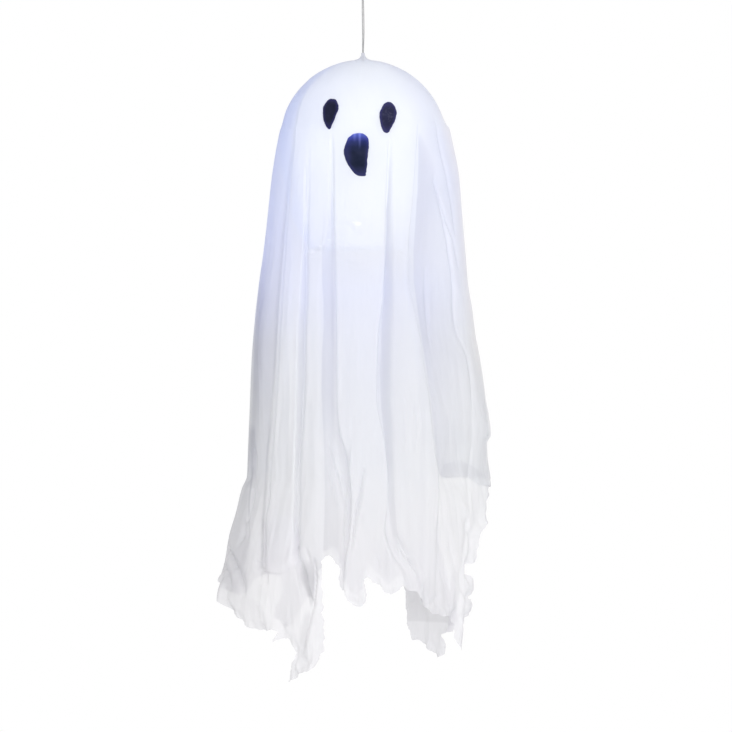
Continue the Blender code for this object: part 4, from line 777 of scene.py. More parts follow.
def cloth_grid():
    valleys = valley_list()
    rows = []                     # (picture row, is tip, radius, up)
    for r, up in TIP:
        rows.append(("tip", r, up))
    arc = 10.5
    while arc < 70:
        rows.append(("skirt", 60 + 94.5 * (1 - math.cos(math.radians(arc))) * MM / PX, 0))
        arc += 2.7
    py = rows[-1][1] + 2.6
    while py < 690:
        rows.append(("skirt", py, 0))
        py += 2.5
    # order the valleys by angle, once, at mid height
    _, mid = row_points(400, valleys)
    order = list(np.argsort(mid))
    sorted_mid = [mid[i] for i in order]
    spans = [((sorted_mid[(k + 1) % len(order)] - sorted_mid[k]) % 360) for k in range(len(order))]
    counts = []
    for k, i in enumerate(order):
        j = order[(k + 1) % len(order)]
        deep = 0.5 * (float(curve_through(valleys[i][1]["deep"], 450))
                      + float(curve_through(valleys[j][1]["deep"], 450)))
        arc_mm = math.radians(spans[k]) * 122
        middle = (sorted_mid[k] + spans[k] / 2 + 180) % 360 - 180
        per_mm = COLUMNS_FRONT if abs(middle) < 84 else COLUMNS_BACK
        counts.append(max(16, round((arc_mm + 1.55 * deep) * per_mm)))
    total = sum(counts)
    dense_n = 160
    P = np.zeros((len(rows), total, 3))
    PHI = np.zeros((len(rows), total))
    for ri, row in enumerate(rows):
        tip = row[0] == "tip"
        py = 66.0 if tip else row[1]
        edge, angles = row_points(max(py, 126.0), valleys)
        left, right, front, back = row_points(py, valleys)[0] if not tip else (row[1],) * 4
        depth = -row[2] if tip else (py - 60) * PX / MM
        a_sorted = [angles[i] for i in order]
        out_pts, out_phi = [], []
        dense_phi, dense_lobe = [], []
        for k in range(len(order)):
            a0 = a_sorted[k]
            a1 = a_sorted[(k + 1) % len(order)]
            while a1 <= a0:
                a1 += 360
            t = np.linspace(0, 1, dense_n, endpoint=False)
            # more samples near the valleys, where the cloth is steep
            t = 0.5 - 0.5 * np.cos(np.pi * t)
            dense_phi.append(a0 + (a1 - a0) * t)
        phi = np.concatenate(dense_phi)
        rad = np.radians(phi)
        bx = np.sin(rad) * np.where(np.sin(rad) > 0, right, left)
        by = -np.cos(rad) * np.where(np.cos(rad) > 0, front, back)
        radius = np.hypot(bx, by)
        inset = np.zeros_like(phi)
        extra = np.zeros_like(phi)
        shift = np.zeros_like(phi)
        if not tip:
            for (kind, v), a in zip(valleys, angles):
                deep = float(curve_through(v["deep"], py)) if py > v["deep"][0][0] else 0.0
                if deep <= 0:
                    continue
                off = (phi - a + 180) % 360 - 180
                dist = np.radians(off) * radius
                wl, wr = (float(curve_through(v[key], py)) for key in ("left", "right"))
                tuck = float(curve_through(v["tuck"], py))
                w = np.where(dist < 0, wl, wr)
                x = np.abs(dist) / w
                power = np.where(dist < 0, *v.get("power", (1.55, 1.55)))
                here = deep * (0.92 * np.exp(-x ** power) + 0.08 / (1 + (x / 2.6) ** 2))
                if v.get("add"):
                    extra += here
                else:
                    inset = (inset ** 3 + here ** 3) ** (1 / 3)
                shift += tuck * np.exp(-(dist / (0.5 * (wl + wr) + 2.0)) ** 2)
                if "lean" in v:       # the left wall leans under the fold that it belongs to
                    shift -= float(curve_through(v["lean"], py)) * here / deep
            inset += extra
            room = radius - globe_radius(depth) - 2.6
            if depth < 216:
                room = np.maximum(room, 0.0)
                inset = room * (1 - np.exp(-inset / np.maximum(room, 1e-6)))
        nx, ny = bx / radius, by / radius
        x = bx - nx * inset - ny * shift
        y = by - ny * inset + nx * shift
        # resample each fold evenly along the cloth
        pos = 0
        xs, ys, ps = np.append(x, x[0]), np.append(y, y[0]), np.append(phi, phi[0] + 360)
        seg = np.hypot(np.diff(xs), np.diff(ys))
        s = np.concatenate(([0], np.cumsum(seg)))
        for k in range(len(order)):
            i0, i1 = k * dense_n, (k + 1) * dense_n
            run = s[i1] - s[i0]
            even = np.linspace(0, 1, 201)
            close = 1 + 1.3 * (np.exp(-(even * run / 14) ** 2) + np.exp(-((1 - even) * run / 14) ** 2))
            walk = np.concatenate(([0], np.cumsum((close[1:] + close[:-1]) / 2)))
            share = np.interp(np.linspace(0, 1, counts[k], endpoint=False), walk / walk[-1], even)
            want = s[i0] + share * run
            out_pts.append(np.stack([np.interp(want, s[i0:i1 + 1], xs[i0:i1 + 1]),
                                     np.interp(want, s[i0:i1 + 1], ys[i0:i1 + 1])], 1))
            out_phi.append(np.interp(want, s[i0:i1 + 1], ps[i0:i1 + 1]))
        pts = np.concatenate(out_pts)
        P[ri, :, :2] = pts
        P[ri, :, 2] = CROWN_Z / MM - depth
        PHI[ri] = np.concatenate(out_phi)
    return P, PHI, rows, counts


def blur_columns(P, sigma):
    """Gaussian blur round the cloth, along each row."""
    n = int(math.ceil(3 * sigma))
    k = np.exp(-0.5 * (np.arange(-n, n + 1) / sigma) ** 2)
    k /= k.sum()
    out = np.zeros_like(P)
    for o, w in zip(range(-n, n + 1), k):
        out += w * np.roll(P, o, axis=1)
    return out


def blur_rows(P, sigma):
    n = int(math.ceil(3 * sigma))
    k = np.exp(-0.5 * (np.arange(-n, n + 1) / sigma) ** 2)
    k /= k.sum()
    pad = np.concatenate([P[:1]] * n + [P] + [P[-1:]] * n)
    return sum(w * pad[i:i + len(P)] for i, w in enumerate(k))


def side_distance(px, py, line):
    """Distance of points from a polyline, and whether they lie inside it closed far above."""
    line = np.asarray(line, float)
    best = np.full(px.shape, 1e9)
    inside = np.zeros(px.shape, bool)
    for (x0, y0), (x1, y1) in zip(line[:-1], line[1:]):
        dx, dy = x1 - x0, y1 - y0
        t = np.clip(((px - x0) * dx + (py - y0) * dy) / (dx * dx + dy * dy + 1e-12), 0, 1)
        best = np.minimum(best, np.hypot(px - x0 - t * dx, py - y0 - t * dy))
    loop = np.concatenate([line, [[line[-1][0] + 40, -50], [line[0][0] - 40, -50]]])
    for (x0, y0), (x1, y1) in zip(loop, np.roll(loop, -1, axis=0)):
        cross = (y0 > py) != (y1 > py)
        with np.errstate(divide="ignore", invalid="ignore"):
            xi = x0 + (py - y0) / (y1 - y0) * (x1 - x0)
        inside ^= cross & (px < xi)
    return np.where(inside, best, -best)


FRONT_HEM = ((205, 560), (219.5, 579), (221, 601), (229, 613), (251, 630), (274, 630), (279, 631), (273, 642),
             (287, 638), (295, 653), (291, 664), (288.5, 677), (287, 683), (295, 678), (316, 666),
             (322.6, 651), (324, 631), (321.5, 612), (321.5, 566), (325, 558), (331, 555),
             (339, 566), (341, 588), (347.5, 601), (356, 607.5), (362, 607.5), (366, 599),
             (365, 581), (367, 574), (370, 578), (380, 585), (385, 592), (392, 595), (399, 590),
             (402, 586), (404.5, 586), (408, 591), (414, 590.5), (418.5, 593), (420, 599), (425, 604), (427, 609),
             (432, 612.5), (442, 615), (453, 617), (455.5, 623), (454.8, 632), (454.8, 640), (458, 647),
             (461, 651), (463.5, 645), (466, 633), (462.6, 627), (462.6, 623), (468.7, 618.4), (476.5, 611.5), (477, 604), (471, 597),
             (478, 590), (475.5, 581), (470, 573), (470, 564), (475, 563), (475.5, 534), (484, 521),
             (487, 510), (485, 501), (490, 495), (487, 489), (489.6, 486), (505, 484))
BACK_HEM = ((205, 584), (222, 589), (234, 592), (244, 597), (250, 590), (256, 577), (263, 573), (272, 574),
            (279, 579), (277.5, 593), (272, 606), (270.5, 618), (277, 621), (284, 627), (292, 624), (298, 612), (304, 601), (312, 596), (318, 575), (322, 550), (331, 546), (338, 553), (342, 575), (349, 589),
            (357, 594), (363, 590), (364, 573), (371, 566), (381, 575), (388, 583), (397, 576), (404, 578), (407, 596), (408.7, 620), (413, 639), (424, 643), (433, 652), (438.6, 657), (446, 655),
            (444, 641), (441, 634), (447, 633), (455, 631.5), (458, 612), (453, 585), (444, 540), (440, 482), (447, 472), (455, 465), (465, 463),
            (480, 472), (489.6, 486), (505, 490))
# Where the cloth hangs double: outline in the picture, and how far the other layer lies behind
# (or, when negative, in front of) the first, in mm, against the picture row.
SECOND_LAYERS = (
    dict(outline=((505, 128), (423, 128), (420, 193), (416, 240), (414.5, 268), (418, 305), (422, 335), (426.5, 361), (432.5, 400),
                  (436, 440), (437, 462), (438.5, 473), (445, 478), (456, 476.5), (470, 477), (474, 481), (478, 484), (489.6, 486.5), (505, 488)),
         gap=((128, 1.6), (250, 1.8), (330, 0.2), (360, -0.8), (400, -1.4), (490, -2.2))),
    dict(outline=((441, 462), (452, 461), (464, 460.5), (474, 465), (484, 471), (495, 474), (495, 487), (489.6, 486.5), (478, 484), (474, 481), (470, 477), (456, 476.5), (445, 478), (440, 473)),
         gap=((460, 1.5), (490, 2.5)), wall=True),
    dict(outline=((240, 236), (265.5, 236), (265, 262), (263, 300), (261, 345), (258.5, 395), (256, 436), (253.5, 468), (250, 484), (240, 484)),
         gap=((236, 1.6), (320, 3.5), (484, 4.0)), wall=True),
    dict(outline=((262, 517), (299, 517), (299, 556), (294, 566), (286, 571.5), (281, 573.5), (272, 572), (266, 569), (263, 560)),
         gap=((517, -0.5), (540, -1.2), (575, -3.5))),
)


def hem_field(P, PHI, px, py):
    """Positive where the cloth is kept."""
    front = side_distance(px, py, FRONT_HEM)
    back = side_distance(px, py, BACK_HEM)
    keep = np.where(P[..., 1] < 0, front, back)
    return keep + rag_noise(P, PHI, px, py)


def rag_noise(P, PHI, px, py):
    """Torn edge in picture pixels, the same size on the cloth wherever it faces."""
    facing = 0.22 + 0.78 * np.abs(np.cos(np.radians(PHI)))
    arc = np.radians(PHI) * 110
    rag = smooth_noise(3, np.sin(arc / 110) * 12, np.cos(arc / 110) * 12, py / 9, 2) * 2.2
    rag += smooth_noise(5, arc / 3.0, py / 2.6, py * 0, 2) * 1.0
    return rag * facing


def clip_grid(P, keep, uv):
    """Triangles of a closed-round grid where keep is positive, cut cleanly along keep = 0."""
    rows, cols = keep.shape
    verts, uvs, index, edge_index, faces = [], [], {}, {}, []

    def corner(r, c):
        key = (r, c)
        if key not in index:
            index[key] = len(verts)
            verts.append(P[r, c])
            uvs.append(uv[r, c])
        return index[key]

    def crossing(a, b):
        key = (a, b) if a < b else (b, a)
        if key not in edge_index:
            ka, kb = keep[key[0]], keep[key[1]]
            t = ka / (ka - kb)
            edge_index[key] = len(verts)
            verts.append(P[key[0]] * (1 - t) + P[key[1]] * t)
            uvs.append(uv[key[0]] * (1 - t) + uv[key[1]] * t)
        return edge_index[key]

    for r in range(rows - 1):
        for c in range(cols):
            d = (c + 1) % cols
            quad = ((r, c), (r + 1, c), (r + 1, d), (r, d))
            signs = [keep[q] > 0 for q in quad]
            if all(signs):
                faces.append(tuple(corner(*q) for q in quad))
                continue
            if not any(signs):
                continue
            tris = ((quad[0], quad[1], quad[2]), (quad[0], quad[2], quad[3]))
            for tri in tris:
                inside = [keep[q] > 0 for q in tri]
                if not any(inside):
                    continue
                ring = []
                for i in range(3):
                    a, b = tri[i], tri[(i + 1) % 3]
                    if inside[i]:
                        ring.append(corner(*a))
                    if inside[i] != inside[(i + 1) % 3]:
                        ring.append(crossing(a, b))
                if len(set(ring)) >= 3:
                    faces.append(tuple(dict.fromkeys(ring)))
    return verts, faces, uvs


# Creases and ridges that cross or leave the main folds: their line in the picture, going down,
# how deep they are in mm (negative stands out), and how far they reach to each side in mm.
CREASES = (
    # outer left fold
    (((254, 452), (252.4, 475), (251.6, 490), (249.3, 506), (247, 513), (246, 520)), 8.5, (2.0, 2.0)),
    (((246, 519), (246.5, 530), (245, 545)), 3.0, (2.4, 2.0)),
    (((243, 522), (241.4, 536), (236.5, 546)), 4.5, (2.4, 2.0)),
    (((226, 549), (230, 558), (233.3, 565), (237.5, 574), (240, 581), (242.5, 593)), 10.0, (2.4, 1.8)),
    (((222, 566), (225, 577), (227.5, 590)), 7.5, (3.0, 2.6)),
    (((306, 92), (301, 110), (297.5, 130), (295, 150)), -2.2, (2.5, 24)),
    (((294, 150), (288.5, 195), (283, 255), (279.5, 315), (276, 375), (270, 445), (266, 500), (263.5, 545)), -9.0, (1.6, 27)),
    (((266, 245), (263.5, 290), (261.5, 335), (258, 395), (255.5, 440)), -3.2, (4.5, 15)),
    # the hem of the second fold and the gathers beside it
    (((255.5, 561), (259, 567), (264, 570)), 5.0, (2.0, 2.0)),
    (((292, 545), (291, 556), (287, 566)), -2.5, (3.0, 3.0)),
    (((297, 528), (298, 545), (294, 560)), 3.0, (1.8, 1.8)),
    (((306, 549), (308.5, 557), (311, 568)), 3.0, (1.6, 1.6)),
    (((301, 562), (304, 575), (308, 590), (312, 604)), 8.0, (4.0, 2.0)),
    (((314, 560), (314.5, 580), (313.5, 603)), 7.0, (1.6, 1.6)),
    (((308, 572), (311, 590), (312.5, 602)), -3.0, (1.6, 1.6)),
    (((313, 603), (309, 618), (305, 635), (301.5, 652)), 6.0, (3.2, 2.4)),
    (((300, 655), (306, 662), (311, 668)), 2.5, (2.6, 2.6)),
    (((290, 655), (296, 663), (299, 672)), -2.5, (3.0, 3.0)),
    (((276, 618), (283, 628), (286, 637)), 2.5, (3.0, 3.0)),
    (((252, 600), (262, 606), (268, 622)), -2.0, (5.0, 5.0)),
    # middle
    (((363.5, 470), (360, 493), (355.5, 519), (350.5, 549)), 4.9, (1.2, 1.6)),
    (((352, 440), (349, 480), (346, 520), (344, 548)), -3.0, (1.3, 8.0)),
    (((367, 466), (364, 490), (360, 515)), -1.8, (2.6, 4.0)),
    (((329, 436), (333, 452), (341, 478), (345, 500)), -4.0, (2.6, 2.6)),
    (((326, 455), (333, 480), (336, 505)), -3.0, (3.0, 3.0)),
    (((387, 546), (387.5, 560), (386, 576)), 3.2, (2.0, 2.0)),
    (((377, 556), (379, 568), (378, 580)), 2.5, (2.4, 2.4)),
    (((392, 530), (396, 542), (399, 560)), -2.6, (3.0, 3.0)),
    (((397, 536), (403, 548), (410, 560), (417, 570)), 5.0, (2.2, 3.4)),
    (((410, 560), (414, 568), (416, 574)), 4.0, (1.6, 1.6)),
    (((306, 255), (312, 252.5), (320, 250), (327, 246), (333, 241)), -2.8, (2.2, 1.6)),
    (((338, 219), (346, 219.5), (352, 223), (357, 230), (366, 233)), -2.2, (1.8, 1.5)),
    (((340, 243), (350, 247), (362, 249), (374, 246), (384, 240)), -1.6, (3.5, 2.0)),
    (((396, 252), (404, 256), (411, 262)), -1.3, (3.0, 1.8)),
    (((344, 262), (356, 266), (368, 263)), -1.0, (3.5, 2.5)),
    # right
    (((465, 521), (470, 531), (474.5, 539), (473.5, 560)), 3.5, (2.0, 2.0)),
    (((449, 524), (452, 545), (455, 562), (461, 580)), 2.4, (4.0, 4.0)),
    (((462, 500), (468, 512), (470, 526)), -3.0, (3.0, 5.0)),
    (((436, 505), (437, 530), (441, 552)), 1.8, (4.0, 4.0)),
    (((404, 400), (406, 425), (405, 448)), 2.2, (2.0, 2.0)),
    (((416, 405), (418, 425), (416, 450)), 2.2, (2.0, 2.0)),
    (((424, 577), (420, 588), (419, 599), (425, 605), (432, 610)), -4.0, (4.0, 6.0)),
    (((437, 598), (432, 602), (428, 607)), 2.6, (2.0, 2.0)),
    (((440, 568), (447, 585), (449, 603)), 2.5, (3.5, 3.5)),
    (((455, 585), (462, 600), (460, 612)), -2.5, (4.0, 4.0)),
    (((462, 590), (467, 602), (464, 615)), 2.5, (2.6, 2.6)),
    (((434, 182), (440, 200), (447, 222), (454, 241), (458, 268)), 2.6, (1.5, 1.5)),
    (((478, 330), (481, 365), (483, 395), (484, 420)), 2.0, (1.6, 1.6)),
    (((436, 122), (441, 150), (447, 175), (452, 205), (455, 235)), 2.4, (1.3, 1.6)),
    (((425, 268), (426, 305), (430, 352)), 2.2, (2.4, 1.8)),
    (((306, 168), (305, 200), (305, 236)), 1.6, (1.4, 1.4)),
    (((323.5, 320), (322.5, 380), (323.5, 440), (325.5, 500), (325, 548)), -3.6, (15.0, 1.3)),
    (((324, 235), (323, 270), (322.5, 330)), -1.5, (3.0, 1.4)),
)


def stroke_distance(line, x, y):
    """Distance to a line, which side of it a point is on, and how far along it, from 0 to 1."""
    line = np.asarray(line, float)
    total = np.concatenate(([0], np.cumsum(np.hypot(*np.diff(line, axis=0).T))))
    best = np.full(x.shape, 1e9)
    along, side = np.zeros(x.shape), np.ones(x.shape)
    for i, ((x0, y0), (x1, y1)) in enumerate(zip(line[:-1], line[1:])):
        dx, dy = x1 - x0, y1 - y0
        t = np.clip(((x - x0) * dx + (y - y0) * dy) / (dx * dx + dy * dy), 0, 1)
        gap = np.hypot(x - x0 - t * dx, y - y0 - t * dy)
        closer = gap < best
        along = np.where(closer, total[i] + t * (total[i + 1] - total[i]), along)
        side = np.where(closer, np.sign((x - x0) * dy - (y - y0) * dx), side)
        best = np.minimum(best, gap)
    return best, side, along / total[-1]


def crease_push(P, px, py):
    """How far each front point moves in, and straight ahead, in mm, for the creases."""
    front = P[..., 1] < 0
    move, ahead = np.zeros(px.shape), np.zeros(px.shape)
    for line, deep, (to_left, to_right) in CREASES:
        ends = np.asarray(line, float)
        reach = 8 + 2.2 * max(to_left, to_right)
        near = (front & (px > ends[:, 0].min() - reach) & (px < ends[:, 0].max() + reach)
                & (py > ends[:, 1].min() - reach) & (py < ends[:, 1].max() + reach))
        if not near.any():
            continue
        gap, side, along = stroke_distance(line, px[near], py[near])
        wide = np.where(side < 0, to_left, to_right)
        fade = np.sin(np.pi * np.clip(0.08 + 0.84 * along, 0, 1)) ** 0.6
        here = deep * fade * np.exp(-(gap * PX / MM / wide) ** 1.5)
        if deep < -8:
            ahead[near] -= here
        else:
            move[near] += here
    return move, ahead


def inside_outline(px, py, outline):
    """Signed distance to a closed outline, positive inside."""
    line = np.asarray(list(outline) + [outline[0]], float)
    best = np.full(px.shape, 1e9)
    inside = np.zeros(px.shape, bool)
    for (x0, y0), (x1, y1) in zip(line[:-1], line[1:]):
        dx, dy = x1 - x0, y1 - y0
        t = np.clip(((px - x0) * dx + (py - y0) * dy) / (dx * dx + dy * dy + 1e-12), 0, 1)
        best = np.minimum(best, np.hypot(px - x0 - t * dx, py - y0 - t * dy))
        if y0 != y1:
            inside ^= ((y0 > py) != (y1 > py)) & (px < x0 + (py - y0) / (y1 - y0) * dx)
    return np.where(inside, best, -best)


def make_cloth():
    P, PHI, rows, counts = cloth_grid()
    skirt_from = len(TIP)
    upper = blur_rows(P[skirt_from:], 1.2)
    P[skirt_from + 3:] = upper[3:]
    P = blur_columns(P, 1.0)
    # soft unevenness: broad swells, then upright wrinkles that grow down the skirt
    rad = np.radians(PHI)
    cx, cy = np.sin(rad), -np.cos(rad)
    d = CROWN_Z / MM - P[..., 2]
    grow = smoothstep(95, 420, d)
    radial = np.hypot(P[..., 0], P[..., 1]) + 1e-6
    nx, ny = P[..., 0] / radial, P[..., 1] / radial
    swell = smooth_noise(1, cx * 1.6, cy * 1.6, d / 190, 2) * 4.5 * grow
    wrinkle = smooth_noise(2, cx * 6.5, cy * 6.5, d / 150, 3) * 1.7 * smoothstep(110, 480, d)
    fine = smooth_noise(4, cx * 17, cy * 17, d / 60, 3) * 0.55 * smoothstep(80, 360, d)
    push = swell + wrinkle + fine
    P[..., 0] += nx * push
    P[..., 1] += ny * push
    px, py = to_px(P * MM)
    move, ahead = crease_push(P, px, py)
    P[..., 0] -= nx * move
    P[..., 1] -= ny * move + ahead
    # match the outline at each row
    for r in range(skirt_from, len(P)):
        row_py = 60 + (CROWN_Z / MM - P[r, 0, 2]) * MM / PX
        for sign, table in ((-1, LEFT_EDGE), (1, RIGHT_EDGE)):
            if row_py < 126:
                continue
            want = float(curve_through(table, row_py)) * PX / MM
            x = P[r, :, 0] * sign
            have = x.max()
            f = want / have
            P[r, :, 0] *= np.where(x > 0, 1 + (f - 1) * smoothstep(0.35, 1.0, x / have), 1)
            if sign > 0:
                nick = float(np.interp(row_py, *zip(*RIGHT_NICK))) * PX / MM
                P[r, :, 0] -= nick * smoothstep(0.90, 0.985, x / want)
    px, py = to_px(P * MM)
    keep = hem_field(P, PHI, px, py)
    # the torn hem curls in and out
    loose = smoothstep(9, 0, np.clip(keep, 0, 9)) * (py > 440)
    curl = smooth_noise(6, cx * 9, cy * 9, d / 90, 2) * 9.0 + 1.2
    P[..., 0] -= nx * curl * loose
    P[..., 1] -= ny * curl * loose
    Pm = P * MM
    # the cloth's own coordinates, in metres: round it and down it
    seg = np.linalg.norm(np.roll(Pm, -1, axis=1) - Pm, axis=2)
    around = np.cumsum(seg[-40].reshape(1, -1), axis=1).repeat(len(Pm), 0)
    down = np.concatenate([np.zeros((1, Pm.shape[1])),
                           np.cumsum(np.linalg.norm(np.diff(Pm, axis=0), axis=2), axis=0)])
    uv = np.stack([around, down], 2)
    verts, faces, uvs = clip_grid(Pm, keep, uv)
    n_main = len(verts)
    along = np.roll(P, -2, axis=1) - np.roll(P, 2, axis=1)
    down_way = np.zeros_like(P)
    down_way[1:-1] = P[2:] - P[:-2]
    out = np.cross(along, down_way)
    out /= np.linalg.norm(out, axis=2, keepdims=True) + 1e-9
    out = blur_columns(out * np.sign(out[..., :1] * nx[..., None] + out[..., 1:2] * ny[..., None] + 1e-9), 1.5)
    for layer in SECOND_LAYERS:
        gap = curve_through(layer["gap"], np.clip(py, layer["gap"][0][0], layer["gap"][-1][0]))
        rim = inside_outline(px, py, layer["outline"]) + (0.15 if layer.get("wall") else 0.8) * rag_noise(P, PHI, px, py)
        rim = np.where((P[..., 1] < 0) & (keep > 0), rim, -1.0)
        more, more_faces, more_uvs = clip_grid((P - out * gap[..., None]) * MM, rim, uv)
        faces += [tuple(i + len(verts) for i in f) for f in more_faces]
        verts += more
        uvs += more_uvs
    obj = new_object("ghost_cloth", verts, faces, MAT_CLOTH, uv=uvs)
    bm = bmesh.new()
    bm.from_mesh(obj.data)
    bmesh.ops.remove_doubles(bm, verts=bm.verts, dist=1e-5)
    # drop crumbs cut loose at the hems
    seen, groups = set(), []
    for v in bm.verts:
        if v in seen:
            continue
        stack, group = [v], []
        seen.add(v)
        while stack:
            a = stack.pop()
            group.append(a)
            for e in a.link_edges:
                b = e.other_vert(a)
                if b not in seen:
                    seen.add(b)
                    stack.append(b)
        groups.append(group)
    groups.sort(key=len)
    for g in groups:
        if len(g) < 600:
            bmesh.ops.delete(bm, geom=g, context="VERTS")
    bm.normal_update()
    area = sum(f.calc_area() for f in bm.faces)
    bm.to_mesh(obj.data)
    bm.free()
    obj.data.update()
    print("cloth", len(obj.data.vertices), "verts", len(obj.data.polygons), "faces area", round(area, 4))
    return obj, area


cloth, cloth_area = make_cloth()
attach(cloth, "ghost")
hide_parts("ghost_sheet")

# ------------------------------------------------------------ globe
def make_globe():
    steps = 128
    profile = []
    for k in range(0, 60):
        a = math.radians(2.2 + (96 - 2.2) * k / 59)
        profile.append((GLOBE_R * math.sin(a), GLOBE_MID - GLOBE_R * math.cos(a)))
    for depth in np.linspace(106, 211, 40):
        profile.append((float(globe_radius(depth - 1e-6)), float(depth)))
    rim = profile[-1]
    outer = profile
    inner = [(r - 1.2, d) for r, d in reversed(profile)]
    lip = [(rim[0] + 0.35, rim[1] + 0.7), (rim[0] - 0.6, rim[1] + 1.1), (rim[0] - 1.5, rim[1] + 0.7)]
    loop = outer + lip + inner
    verts, faces = [], []
    for r, d in loop:
        for j in range(steps):
            a = math.tau * j / steps
            verts.append((r * MM * math.cos(a), r * MM * math.sin(a), CROWN_Z - d * MM))
    n = len(loop)
    for i in range(n):
        k = (i + 1) % n
        for j in range(steps):
            m = (j + 1) % steps
            faces.append((i * steps + j, k * steps + j, k * steps + m, i * steps + m))
    return new_object("head_globe_milky", verts, faces, MAT_GLOBE)


globe = make_globe()
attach(globe, "ghost")
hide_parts("head_globe")

# ------------------------------------------------------------ face
EYE_LEFT = ((-45.0, 60.0), (-44.2, 52.6), (-39.4, 45.2), (-34.6, 43.8), (-30.4, 44.8),
            (-28.4, 48.8), (-27.4, 54.0), (-29.8, 61.4), (-33.0, 69.8), (-36.6, 77.2),
            (-38.6, 77.8), (-41.8, 74.0), (-44.2, 68.2))
EYE_RIGHT = ((18.6, 61.0), (19.8, 56.2), (23.4, 49.8), (27.8, 47.2), (32.0, 48.2),
             (35.6, 52.2), (37.8, 58.6), (37.2, 63.4), (35.2, 69.8), (32.0, 75.4),
             (29.6, 80.4), (26.4, 82.0), (23.2, 80.6), (20.6, 75.4), (19.2, 68.2))
MOUTH = ((-21.4, 105.2), (-20.6, 97.8), (-17.8, 90.0), (-13.8, 85.0), (-9.4, 82.8),
         (-4.6, 82.2), (0.0, 82.8), (3.8, 85.4), (6.2, 89.2), (6.6, 96.2), (5.8, 103.4),
         (5.0, 111.0), (4.6, 119.0), (3.6, 126.4), (2.6, 130.2), (-3.4, 130.4),
         (-7.6, 129.0), (-11.6, 125.2), (-15.6, 119.8), (-19.4, 112.6))


def smooth_loop(points, per):
    pts = [np.array(p, float) for p in points]
    out = []
    for i in range(len(pts)):
        p = [pts[(i + k) % len(pts)] for k in (-1, 0, 1, 2)]
        for j in range(per):
            out.append(hermite(*p, j / per))
    return out


def make_patch(name, outline, cad_node, seed):
    """A felt patch stuck on the cloth: thick, soft-edged, with a slightly fuzzy outline."""
    tree = BVHTree.FromObject(cloth, bpy.context.evaluated_depsgraph_get())
    origin = Vector(camera.location)
    loop = smooth_loop(outline, 6)
    loop_px = []
    for i, (x, d) in enumerate(loop):
        px, py = 363 + x * MM / PX, 60 + d * MM / PX
        wob = 0.35 * noise.fractal((i * 0.31 + seed, seed * 2.3, 0.4), 0.9, 2.0, 3)
        loop_px.append((px + wob, py + wob * 0.6))
    n = len(loop_px)
    centre = np.mean(loop_px, axis=0)
    points, kind, edge = [Vector(p) for p in loop_px], [0.0] * n, [1.0] * n
    for k, share, near in ((0.93, 0.75, 0.9), (0.84, 1.0, 0.55)):
        for p in loop_px:
            points.append(Vector((centre[0] + (p[0] - centre[0]) * k, centre[1] + (p[1] - centre[1]) * k)))
            kind.append(share)
            edge.append(near)
    lo, hi = np.min(loop_px, axis=0), np.max(loop_px, axis=0)
    inner = [(centre[0] + (p[0] - centre[0]) * 0.78, centre[1] + (p[1] - centre[1]) * 0.78) for p in loop_px]
    gy = lo[1]
    while gy < hi[1]:
        gx = lo[0]
        while gx < hi[0]:
            if side_inside(gx, gy, inner):
                points.append(Vector((gx, gy)))
                kind.append(1.0)
                edge.append(max(0.0, 0.4 - 1.6 * (0.78 - max(abs(gx - centre[0]) / (hi[0] - centre[0]), abs(gy - centre[1]) / (hi[1] - centre[1])))))
            gx += 1.3
        gy += 1.3
    edges = [(i, (i + 1) % n) for i in range(n)]
    verts2, _, tris, orig, _, _ = delaunay_2d_cdt(points, edges, [], 1, 1e-4)
    faces = [t for t in tris]
    pos, nor, share, rim = [], [], [], []
    for v, o in zip(verts2, orig):
        x, z = from_px(v.x, v.y, 0.0)
        way = (Vector((x, 0.0, z)) - origin).normalized()
        hit, normal, _, _ = tree.ray_cast(origin, way)
        if normal.y > 0:
            normal = -normal
        pos.append(hit)
        nor.append(normal)
        share.append(kind[o[0]] if o else 1.0)
        rim.append(edge[o[0]] if o else 0.0)
    # even out the cloth's small facets under the patch
    ring = [set() for _ in pos]
    for f in faces:
        for a in f:
            ring[a].update(f)
    for _ in range(4):
        nor = [sum((nor[b] for b in r), Vector()).normalized() if r else m for r, m in zip(ring, nor)]
    count = len(pos)
    top = [p + m * (0.45 + 0.75 * s + 0.06 * noise.noise(Vector((p.x, p.z, seed)) * 900)) * MM
           for p, m, s in zip(pos, nor, share)]
    under = [p + m * 0.25 * MM for p, m in zip(pos, nor)]
    verts = top + under
    all_faces = [tuple(f) for f in faces] + [tuple(count + i for i in reversed(f)) for f in faces]
    used = {}
    for f in faces:
        for a, b in zip(f, list(f[1:]) + [f[0]]):
            used[(a, b)] = used.get((a, b), 0) + 1
    for (a, b) in list(used):
        if (b, a) not in used:
            all_faces.append((b, a, count + a, count + b))
    obj = new_object(name, verts, all_faces, MAT_FELT)
    bm = bmesh.new()
    bm.from_mesh(obj.data)
    bmesh.ops.recalc_face_normals(bm, faces=bm.faces)
    bm.to_mesh(obj.data)
    bm.free()
    obj.data.attributes.new("rim", "FLOAT", "POINT").data.foreach_set("value", rim + rim)
    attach(obj, "ghost")
    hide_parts(cad_node)
    return obj


def side_inside(x, y, loop):
    inside = False
    for (x0, y0), (x1, y1) in zip(loop, list(loop[1:]) + [loop[0]]):
        if (y0 > y) != (y1 > y) and x < x0 + (y - y0) / (y1 - y0) * (x1 - x0):
            inside = not inside
    return inside


make_patch("face_eye_left", EYE_LEFT, "eye_left", 1)
make_patch("face_eye_right", EYE_RIGHT, "eye_right", 2)
make_patch("face_mouth", MOUTH, "mouth", 3)

